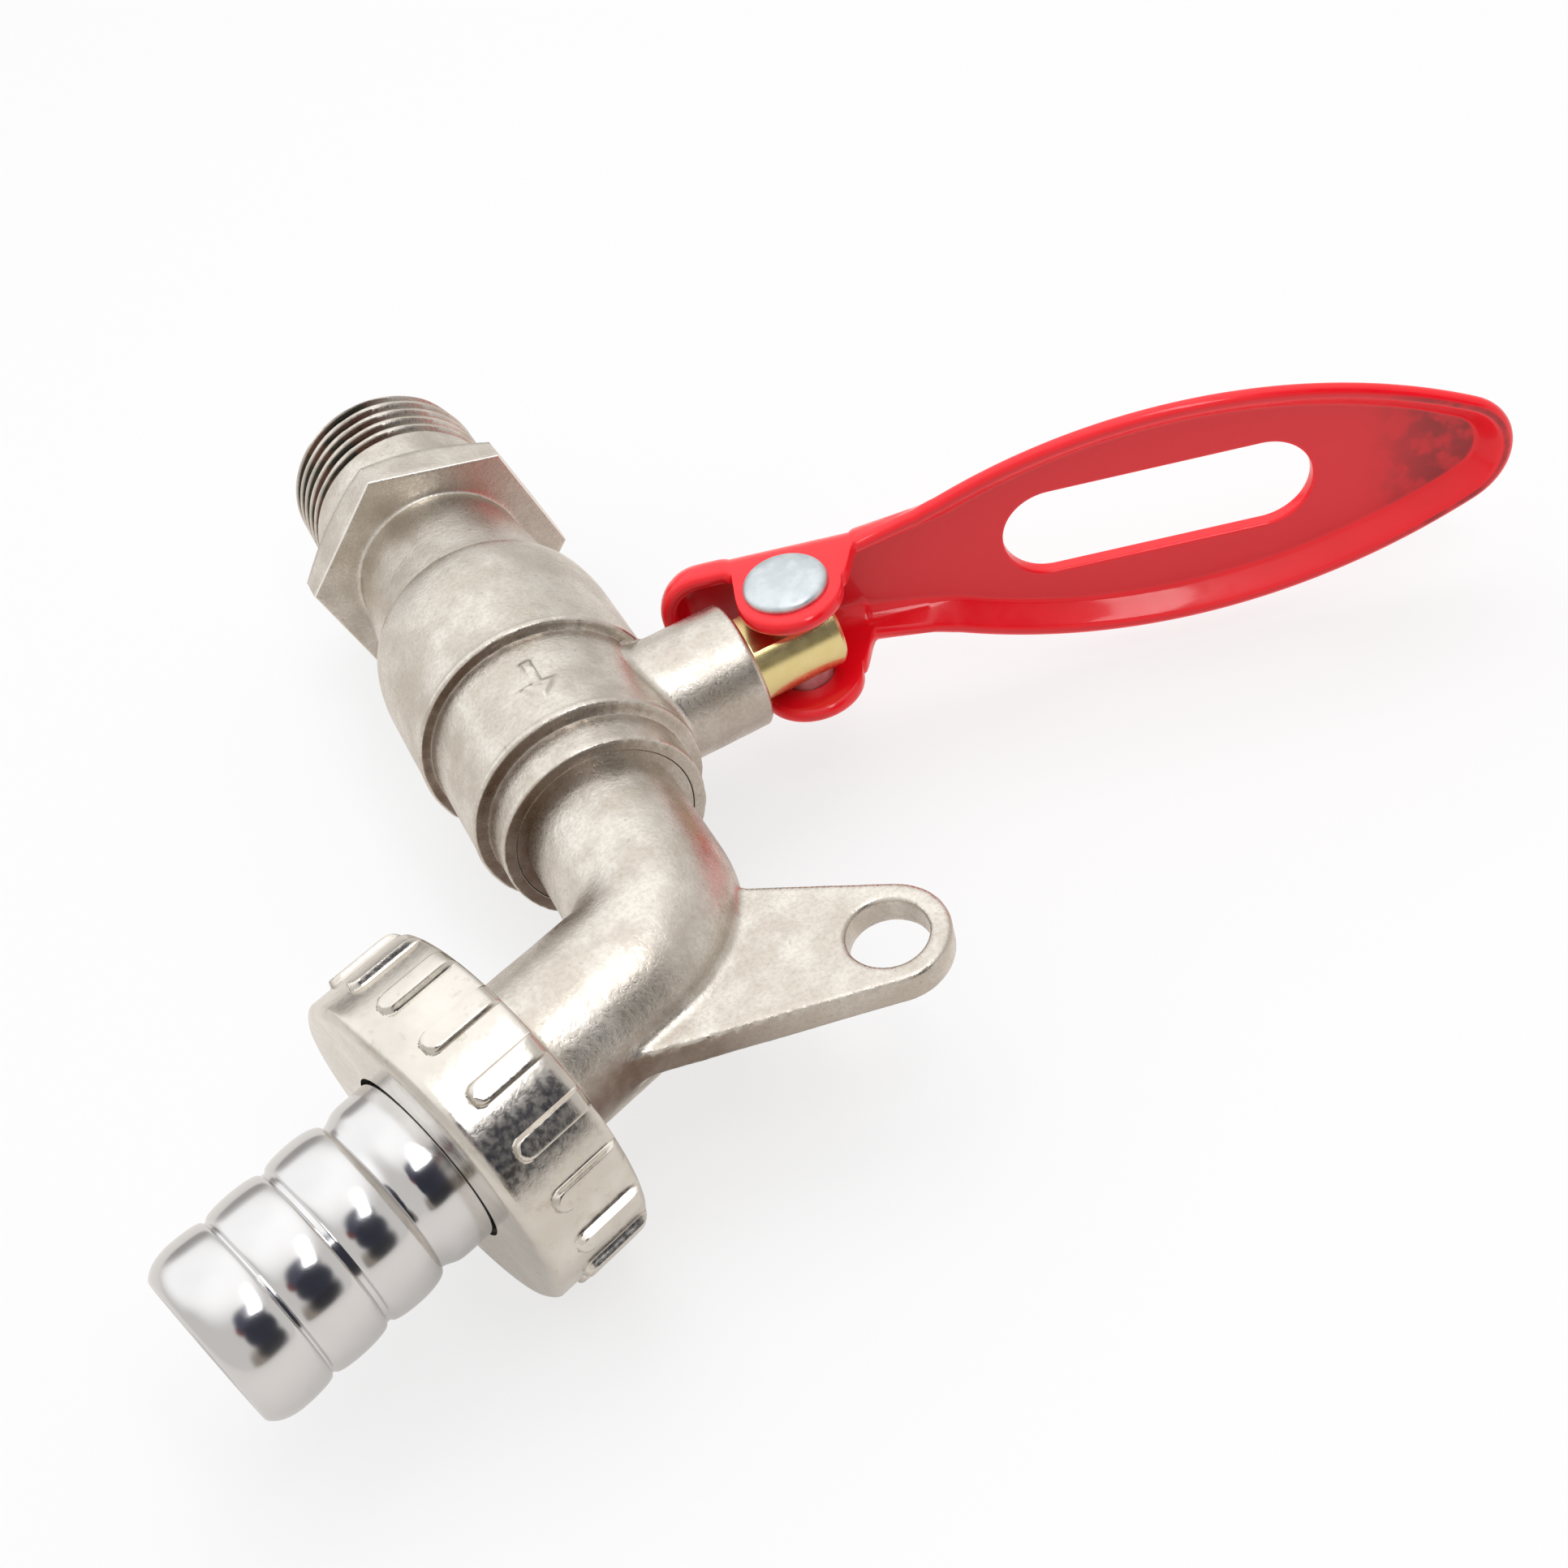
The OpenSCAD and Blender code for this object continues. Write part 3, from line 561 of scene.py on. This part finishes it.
def outline_distance(x, z, corners):
    """Signed distance from a polygon, below zero inside."""
    d = np.full(np.shape(x), 1e9)
    inside = np.zeros(np.shape(x), bool)
    for (ax, az), (bx, bz) in zip(corners, corners[1:] + corners[:1]):
        ex, ez = bx - ax, bz - az
        t = np.clip(((x - ax) * ex + (z - az) * ez) / (ex * ex + ez * ez), 0, 1)
        d = np.minimum(d, np.hypot(x - ax - t * ex, z - az - t * ez))
        over = (az > z) != (bz > z)
        inside ^= over & (x < ax + (z - az) * ex / (ez if ez else 1e-9))
    return np.where(inside, -d, d)


def spout():
    """The cast tube with its bend, the lug with its padlock hole, and the outlet collar."""
    bend = 8.0
    reach = bend * math.tan(FALL / 2)
    start = 82.2 - reach
    lug = np.array([93.3, 14.7])
    along = np.array([math.cos(FALL), -math.sin(FALL)])
    out = np.array([math.sin(FALL), math.cos(FALL)])
    low = np.array([82.2, 0.0]) + 11.5 * along + 7.2 * out

    def touch(p, side):
        d = np.hypot(*(lug - p))
        a = math.atan2(p[1] - lug[1], p[0] - lug[0]) + side * math.acos(5.35 / d)
        return lug + 5.35 * np.array([math.cos(a), math.sin(a)])

    top = np.array([81.6, 6.9])
    foot = touch(low, 1)
    corners = [tuple(p) for p in (top, touch(top, -1), lug, foot, low, np.array([82.2, 0.0]) + 11.5 * along
                                  + 4.0 * out, np.array([82.2, 0.0]))]
    edge = (foot - low) / np.hypot(*(foot - low))

    def field(x, y, z):
        rise = z + bend
        angle = np.arctan2(x - start, rise)
        s = (x - 82.2) * along[0] + z * along[1]
        down = np.hypot((x - 82.2) * out[0] + z * out[1], y)
        path = np.where(angle < 0, np.hypot(y, z),
                        np.where(angle > FALL, down, np.hypot(np.hypot(x - start, rise) - bend, y)))
        path = np.where((angle < 0) | (x < start), np.hypot(y, z), path)
        lower = s > reach
        path = np.where(lower, down, path)
        tube = np.maximum(path - 7.5, 61.935 - x)
        flat = np.minimum(outline_distance(x, z, corners), np.hypot(x - lug[0], z - lug[1]) - 5.35)
        flat = np.maximum(flat, 3.5 - np.hypot(x - lug[0], z - lug[1]))
        t = (x - low[0]) * edge[0] + (z - low[1]) * edge[1]
        near = np.abs((x - low[0]) * edge[1] - (z - low[1]) * edge[0])
        ridge = np.exp(-(near / 0.8) ** 2) * np.exp(-((y + 1.12) / 0.2) ** 2)
        ridge = ridge * step01((np.sin(2.1 * t) + np.sin(3.7 * t + 1) + 0.2) / 0.8) * step01(t / 2) * step01((16 - t) / 3)
        r = 0.45
        p, q = flat + r, np.abs(y) - 1.5 + r
        fin = np.hypot(np.maximum(p, 0), np.maximum(q, 0)) + np.minimum(np.maximum(p, q), 0) - r
        solid = blend(tube, fin + 0.14 * ridge, 0.9)
        collar = np.maximum(down - np.clip(7.5 + (s - 16.4) * 1.44, 0, 9.8), 16.0 - s)
        collar = np.minimum(collar, np.maximum(down - np.minimum(13.22, 13.22 - (s - 22.4)), 18.0 - s))
        solid = np.where(lower, blend(solid, collar, 0.5), solid)
        solid = np.where(lower, np.maximum(solid, s - 23.0), solid)
        return np.maximum(solid, 5.6 - path)

    points, quads = skin(field, (61.5, -13.7, -26.5), (102.3, 13.7, 20.6), 0.29)
    s = (points[:, 0] - 82.2) * along[0] + points[:, 2] * along[1]
    h = 0.02
    x, y, z = points.T
    g = np.stack([field(x + h, y, z) - field(x - h, y, z), field(x, y + h, z) - field(x, y - h, z),
                  field(x, y, z + h) - field(x, y, z - h)], -1)
    g /= np.linalg.norm(g, axis=1)[:, None] + 1e-9
    free = step01((points[:, 0] - 66.6) / 1.0) * step01((16.5 - s) / 1.0)
    wave = 0.04 * rough(points, 3.6, 2.0) + 0.018 * rough(points, 1.2, 9.0)
    points = points + g * (free * wave)[:, None]
    cols = 200
    a = TURN * np.arange(cols) / cols
    spigot = np.array([about_pipe(x, a, r) for x, r in ((61.94, 7.4), (61.94, 8.18), (62.34, 8.58), (66.3, 8.58),
                                                        (66.42, 8.5), (66.42, 7.4))])
    for i in range(len(spigot)):
        for j in range(cols):
            here, there = i * cols, (i + 1) % len(spigot) * cols
            quads.append([len(points) + c for c in (here + j, here + (j + 1) % cols, there + (j + 1) % cols,
                                                    there + j)])
    points = np.concatenate([points, spigot.reshape(-1, 3)])
    dress(to_object("tap_spout", points, quads), "tap_body", "spout_piece", CAST, 50)


def union_nut():
    """The outlet nut with its 18 grip ribs."""
    per, count = 30, 18
    first = math.radians(15)
    share = np.array([-10, -8.4, -6.8, -5.6, -4.9, -4.5, -4.2, -3.95, -3.72, -3.5, -3.3, -3.1, -2.7, -2.0, -1.0,
                      0, 1.0, 2.0, 2.7, 3.1, 3.3, 3.5, 3.72, 3.95, 4.2, 4.5, 4.9, 5.6, 6.8, 8.4])
    a = np.concatenate([first + math.radians(20 * i) + np.radians(share) for i in range(count)])
    off = np.tile(np.radians(share), count) * 15.2
    rows = []
    for s, r in ((27.4, 8.15), (27.42, 8.3), (27.4, 8.5), (27.4, 10.5), (27.4, 12.8), (27.4, 14.25),
                 (27.36, 14.5), (27.2, 14.76), (27.0, 15.0), (26.85, 15.12), (26.7, 15.19)):
        rows.append((s, r, 0))
    for s in (26.2, 25.7, 25.4, 25.2, 25.05, 24.9, 24.75, 24.6, 24.45, 24.3, 24.15, 24.0, 23.8, 23.5, 23.0,
              22.2, 21.3, 20.4, 19.6):
        rows.append((s, 15.2, 1))
    for s, r, k in ((19.1, 15.2, 0.97), (18.8, 15.2, 0.92), (18.55, 15.19, 0.82), (18.35, 15.17, 0.65),
                    (18.15, 15.13, 0.4), (17.98, 15.04, 0.15), (17.86, 14.92, 0), (17.8, 14.75, 0), (17.8, 14.3, 0),
                    (17.8, 13.6, 0), (17.86, 13.4, 0), (18.0, 13.321, 0), (22.0, 13.321, 0),
                    (26.0, 13.321, 0), (26.09, 13.2, 0), (26.09, 10.6, 0), (26.09, 8.35, 0), (26.2, 8.15, 0)):
        rows.append((s, r, k))
    s = np.array([p[0] for p in rows])[:, None]
    r = np.array([p[1] for p in rows])[:, None]
    k = np.array([p[2] for p in rows])[:, None]
    far = np.maximum(s - (18.3 + 6.4 - 0.95), 0)
    bar = np.hypot(off[None, :], far) - 0.95
    rib = step01((0.1 - bar) / 0.26) * k
    r = r + 0.6 * rib
    spots = about_outlet(s, a[None, :], r)
    r = r + np.where((r > 14.9), 0.02 * rough(spots, 2.5, 4.0), 0.0)
    nut = loft("grip_nut", about_outlet(s, a[None, :], r))
    dress(nut, "nut", "union_nut", TURNED, 42)


def hose_tail():
    """The swaged tail: a plain barrel, two ring barbs and the end barb, all softly rolled."""
    line = [(23.02 + 1.52, 5.3), (24.54, 8.0), (24.54, 12.6), (24.6, 12.72), (25.3, 12.72), (25.98, 12.72),
            (26.04, 12.6), (26.04, 9.5), (26.04, 8.0), (26.2, 7.78), (27.0, 7.75), (28.0, 7.75), (29.0, 7.76),
            (29.8, 7.76), (30.4, 7.73), (30.8, 7.66), (31.15, 7.53), (31.5, 7.36), (31.8, 7.22), (32.0, 7.17)]

    def barb(p, q, foot, end):
        for t in np.radians(np.arange(6, 175, 6)):
            base = foot if t < math.pi / 2 else end
            line.append((p + (q - p) * (1 - math.cos(t)) / 2, base + (8.04 - base) * math.sin(t) ** 0.85))

    line.append((32.25, 7.16))
    barb(32.3, 37.5, 7.2, 7.5)
    line += [(37.6, 7.47), (37.95, 7.47)]
    barb(38.05, 43.1, 7.5, 7.54)
    line += [(43.2, 7.52), (43.36, 7.52)]
    for t in np.radians(np.arange(6, 91, 6)):
        line.append((43.42 + 2.6 * (1 - math.cos(t)), 7.52 + 0.52 * math.sin(t) ** 0.7))
    for s, r in ((46.6, 8.02), (47.2, 7.93), (47.7, 7.8), (48.1, 7.64), (48.45, 7.44), (48.75, 7.2), (48.95, 7.0),
                 (49.07, 6.8), (49.1, 6.6), (49.07, 6.42), (48.95, 6.3), (48.7, 6.2), (48.2, 6.05), (47.0, 5.8),
                 (44.0, 5.5), (40.0, 5.32), (34.0, 5.3), (28.0, 5.3)):
        line.append((s, r))
    line = np.array(line)
    a = TURN * np.arange(160) / 160
    tail = loft("barbed_tail", about_outlet(line[:, :1], a[None, :], line[:, 1:]))
    dress(tail, "tail_set", "hose_tail", CHROME, 32)


def lever():
    """The pressed lever: a slotted web and a rim whose flare, height and bend change along it."""
    sheet, gap, offset = 1.6, 4.9, 8.3
    wide_u, wide_w, side_r, tip_r, waist_r = 38.5, 10.0, 57.0, 3.6, 11.7
    side = np.array([wide_u, wide_w - side_r])
    waist = np.array([wide_u - math.sqrt((side_r + waist_r) ** 2 - (gap + waist_r - side[1]) ** 2), gap + waist_r])
    tip = np.array([wide_u + math.sqrt((side_r - tip_r) ** 2 - side[1] ** 2), 0.0])
    waist_a = math.atan2(side[1] - waist[1], side[0] - waist[0])
    tip_a = math.atan2(tip[1] - side[1], tip[0] - side[0])
    lobe_u, ear_r, hollow = 0.2, 5.1, 1.2
    lobe_start, lobe_end = lobe_u - ear_r, lobe_u + ear_r
    lobe_foot = lobe_end + 2.0
    rim_top = -offset + sheet + 2.6 * math.cos(math.radians(39))
    tail_top = -offset + 4.6 - sheet / 2
    lobe_top = 0.7 - sheet / 2
    half = []
    for i in range(13):
        t = math.pi - i * math.pi / 24
        half.append((-11.2 + 3 + 3 * math.cos(t), gap - 3 + 3 * math.sin(t), math.cos(t), math.sin(t)))
    us = [-8.1, -7.6, -7.1, -6.6]
    us += [lobe_start - 0.05 - hollow * (1 - math.sin(math.radians(9 * i))) for i in range(11)]
    us += [lobe_u - ear_r * math.cos(math.pi * i / 36) for i in range(37)]
    us += [lobe_end + (lobe_foot - lobe_end) * i / 7 for i in range(1, 8)]
    half += [(u, gap, 0.0, 1.0) for u in us]
    for i in range(1, 15):
        t = -math.pi / 2 + (waist_a + math.pi / 2) * i / 14
        half.append((waist[0] + waist_r * math.cos(t), waist[1] + waist_r * math.sin(t), -math.cos(t), -math.sin(t)))
    for i in range(1, 51):
        t = waist_a + math.pi + (tip_a - waist_a - math.pi) * i / 50
        half.append((side[0] + side_r * math.cos(t), side[1] + side_r * math.sin(t), math.cos(t), math.sin(t)))
    for i in range(1, 13):
        t = tip_a * (1 - i / 12)
        half.append((tip[0] + tip_r * math.cos(t), tip_r * math.sin(t), math.cos(t), math.sin(t)))
    outline = half + [(u, -w, ou, -ow) for u, w, ou, ow in half[-2::-1]]
    w0 = -offset + sheet
    rings = []
    for u, w, ou, ow in outline:
        flare = math.radians(39) * float(step01((u - lobe_foot + 0.5) / 9))
        bend = 2.3 if u < lobe_start - 0.3 else 2.4 - 1.4 * float(step01((u - lobe_foot + 1) / 9))
        if u < lobe_start - 0.04:
            part = max(0.0, 1 + (u - lobe_start + 0.05) / hollow)
            edge = tail_top + hollow * (1 - math.sqrt(max(0.0, 1 - part * part)))
        elif u <= lobe_end:
            edge = lobe_top + math.sqrt(max(0.0, ear_r ** 2 - (u - lobe_u) ** 2))
        elif u < lobe_foot:
            edge = lobe_top + (rim_top - lobe_top) * float(step01((u - lobe_end) / (lobe_foot - lobe_end)))
        else:
            edge = rim_top
        length = (edge - w0) / math.cos(flare)
        open_a = math.pi / 2 - flare
        bend = min(bend, 0.85 * length / math.tan(open_a / 2))
        k = bend * math.tan(open_a / 2)
        centre = np.array([-k, w0 + bend])
        along = np.array([math.sin(flare), math.cos(flare)])
        out = np.array([math.cos(flare), -math.sin(flare)])
        end = np.array([0.0, w0]) + length * along + out * sheet / 2
        arc = [np.array([math.sin(open_a * i / 8), -math.cos(open_a * i / 8)]) for i in range(9)]
        section = [centre + bend * p for p in arc]
        last = section[-1]
        rim = end - out * sheet / 2
        section += [last + (rim - last) * t for t in (0.25, 0.5, 0.75)]
        section += [end + sheet / 2 * (along * math.sin(math.pi * i / 12) - out * math.cos(math.pi * i / 12))
                    for i in range(13)]
        far = centre + (bend + sheet) * arc[-1]
        edge_out = end + sheet / 2 * out
        section += [edge_out + (far - edge_out) * t for t in (0.25, 0.5, 0.75)]
        section += [centre + (bend + sheet) * p for p in arc[::-1]]
        rim_pts = [(q[1], w + ow * q[0], u + ou * q[0]) for q in section]
        inner = [(q, w - ow * (k + 0.12), u - ou * (k + 0.12)) for q in (w0, -offset)]
        rings.append([inner[0]] + rim_pts + [inner[1]])
    slot = []
    for i in range(80):
        t = math.pi * (i % 40) / 39 + (math.pi if i >= 40 else 0.0)
        cu = 46.9 if i < 40 else 26.2
        slot.append([(v, (4.9 + d) * -math.cos(t), cu + (4.9 + d) * math.sin(t)) for d, v in (
            (0.5, w0), (0.35, w0), (0.2, w0 - 0.03), (0.1, w0 - 0.1), (0.03, w0 - 0.2), (0.0, w0 - 0.35),
            (0.0, -offset + 0.35), (0.03, -offset + 0.2), (0.1, -offset + 0.1), (0.2, -offset + 0.03),
            (0.35, -offset), (0.5, -offset))])
    bm = bmesh.new()
    strips = []
    for rows in (rings, slot):
        grid = [[bm.verts.new(p) for p in row] for row in rows]
        strips.append(grid)
        for here, there in zip(grid, grid[1:] + grid[:1]):
            for c in range(len(here) - 1):
                bm.faces.new((here[c], there[c], there[c + 1], here[c + 1]))
    for c in (0, -1):
        loops = [bm.edges.get((here[c], there[c])) for grid in strips for here, there in
                 zip(grid, grid[1:] + grid[:1])]
        bmesh.ops.triangle_fill(bm, use_beauty=True, edges=loops, normal=(1.0, 0.0, 0.0))
    bmesh.ops.recalc_face_normals(bm, faces=bm.faces)
    lean = math.radians(20.4)
    for v in bm.verts:
        w, y, u = v.co
        v.co = (MM * (w * math.cos(lean) + u * math.sin(lean) + 54.7), MM * y,
                MM * (-w * math.sin(lean) + u * math.cos(lean) + 25.6))
    obj = to_object("lever_sheet", np.zeros((0, 3)), [])
    bm.to_mesh(obj.data)
    bm.free()
    b = TURN * np.arange(64) / 64
    pin = np.array([np.stack([54.7 + 2.55 * np.sin(b), y + 0 * b, 25.6 + 2.55 * np.cos(b)], -1) for y in (-9, 9)])
    boolean(obj, loft("pin_hole", pin, loop=False), "DIFFERENCE")
    dress(obj, "lever", "handle", RED, 40)


def rivet():
    """One rivet through both ears, with two low domed heads."""
    reach = 4.9 + 1.6 + 0.03
    head = [(4.1, 0.0), (4.1, 0.2), (4.07, 0.34), (4.0, 0.47), (3.88, 0.59), (3.7, 0.7), (3.45, 0.79), (3.1, 0.86),
            (2.6, 0.92), (2.0, 0.96), (1.3, 0.985), (0.6, 0.997), (0.2, 1.0)]
    line = [(r, -reach - h) for r, h in head[::-1]] + [(2.5, -reach), (2.5, 0.0), (2.5, reach)]
    line += [(r, reach + h) for r, h in head]
    b = TURN * np.arange(96) / 96
    rings = np.array([np.stack([54.7 + r * np.sin(b), y + 0 * b, 25.6 + r * np.cos(b)], -1) for r, y in line])
    dress(loft("lever_rivet", rings, loop=False), "stem_set", "handle_rivet", RIVET, 50)


valve_body()
spout()
union_nut()
hose_tail()
lever()
rivet()


def table():
    """The pale table behind the tap, on the +Y side. Seen from behind it is clear."""
    m = bpy.data.materials.new("table_top")
    m.use_nodes = True
    s = Shader(m.node_tree)
    out = s.node("ShaderNodeOutputMaterial")
    path = s.node("ShaderNodeLightPath")
    geo = s.node("ShaderNodeNewGeometry")
    mirrored = path.outputs["Is Glossy Ray"]
    matt = s.node("ShaderNodeBsdfDiffuse", {"Color": s.mix(mirrored, rgb(130, 130, 132), rgb(192, 188, 184))})
    glow = s.node("ShaderNodeEmission", {"Color": (1.0, 1.0, 0.995, 1.0)})
    s.feed(glow.inputs["Strength"], s.remap(mirrored, 0.0, 1.0, 0.7, 0.22))
    lit = s.node("ShaderNodeAddShader")
    s.feed(lit.inputs[0], matt.outputs[0])
    s.feed(lit.inputs[1], glow.outputs[0])
    clear = s.node("ShaderNodeBsdfTransparent")
    seen = s.node("ShaderNodeMixShader")
    hidden = s.maths("MAXIMUM", geo.outputs["Backfacing"], path.outputs["Is Shadow Ray"])
    s.feed(seen.inputs[0], hidden)
    s.feed(seen.inputs[1], lit.outputs[0])
    s.feed(seen.inputs[2], clear.outputs[0])
    s.feed(out.inputs[0], seen.outputs[0])
    y, half = 15.9 * MM, 1.6
    mesh = bpy.data.meshes.new("table")
    corners = [(-half, y, -half), (half, y, -half), (half, y, half), (-half, y, half)]
    mesh.from_pydata(corners, [], [(0, 1, 2, 3)])
    mesh.materials.append(m)
    obj = bpy.data.objects.new("table", mesh)
    bpy.context.scene.collection.objects.link(obj)


def world():
    """White to the camera. For everything else a soft room: bright overhead, a window behind the
    camera's right, and the dark of the room round the camera and along the table's near edge."""
    w = bpy.data.worlds.new("room")
    w.use_nodes = True
    bpy.context.scene.world = w
    s = Shader(w.node_tree)
    out = s.node("ShaderNodeOutputWorld")
    way = s.node("ShaderNodeTexCoord").outputs["Generated"]
    path = s.node("ShaderNodeLightPath")

    def lobe(direction, inner, outer):
        d = tuple(Vector(direction).normalized())
        return s.remap(s.dot(way, d), math.cos(math.radians(outer)), math.cos(math.radians(inner)))

    colour = s.mix(lobe((-0.32, -0.94, 0.0), 8, 62), (0.74, 0.72, 0.70, 1), (1.4, 1.4, 1.4, 1))
    colour = s.mix(lobe((-0.60, -0.62, -0.50), 10, 45), colour, (1.3, 1.3, 1.3, 1))
    colour = s.mix(lobe((-0.98, 0.0, -0.2), 6, 24), colour, (0.42, 0.40, 0.39, 1))
    colour = s.mix(lobe((0.97, -0.05, 0.15), 6, 20), colour, (0.3, 0.26, 0.22, 1))
    colour = s.mix(lobe((0.72, -0.68, 0.08), 3, 9), colour, (0.2, 0.06, 0.05, 1))
    colour = s.mix(lobe((0.89, -0.20, 0.38), 8, 17), colour, (0.03, 0.03, 0.035, 1))
    colour = s.mix(lobe((0.60, -0.75, 0.26), 10, 17), colour, (0.07, 0.075, 0.11, 1))
    colour = s.mix(lobe((0.78, -0.50, 0.33), 12, 18), colour, (0.035, 0.037, 0.055, 1))
    colour = s.mix(path.outputs["Is Camera Ray"], colour, (0.98, 0.98, 0.98, 1))
    back = s.node("ShaderNodeBackground", {"Color": colour, "Strength": 1.0})
    s.feed(out.inputs[0], back.outputs[0])


def lamp(name, place, size, watts, mirrored=True, aim=(0.06, 0.0, 0.005)):
    """A flat lamp at a place in metres, turned to the tap."""
    data = bpy.data.lights.new(name, "AREA")
    data.shape = "RECTANGLE"
    data.size, data.size_y = size
    data.energy = watts
    obj = bpy.data.objects.new(name, data)
    obj.location = place
    obj.rotation_mode = "QUATERNION"
    obj.rotation_quaternion = (Vector(place) - Vector(aim)).to_track_quat("Z", "Y")
    obj.visible_glossy = mirrored
    bpy.context.scene.collection.objects.link(obj)


def camera():
    data = bpy.data.cameras.new("camera")
    data.sensor_width = 36.0
    data.lens = 46.26
    data.clip_start = 0.01
    data.clip_end = 20
    obj = bpy.data.objects.new("camera", data)
    right = Vector((0.43564369, 0.2006054, 0.87748051))
    down = Vector((0.58155927, 0.68133454, -0.44449079))
    forward = Vector((-0.68702503, 0.70394654, 0.18015516))
    turn = Matrix((right, -down, -forward)).transposed().to_4x4()
    obj.matrix_world = Matrix.Translation((0.195535, -0.127045, -0.016927)) @ turn
    bpy.context.scene.collection.objects.link(obj)
    bpy.context.scene.camera = obj


table()
world()
lamp("overhead", (-0.15, -0.56, 0.08), (0.4, 0.4), 1.0, False)
lamp("near", (0.199, -0.258, 0.070), (0.15, 0.045), 0.14)
lamp("from_behind", (0.13, 0.67, 0.18), (0.5, 0.5), 1.0)
camera()
bpy.context.scene.view_settings.view_transform = "Standard"
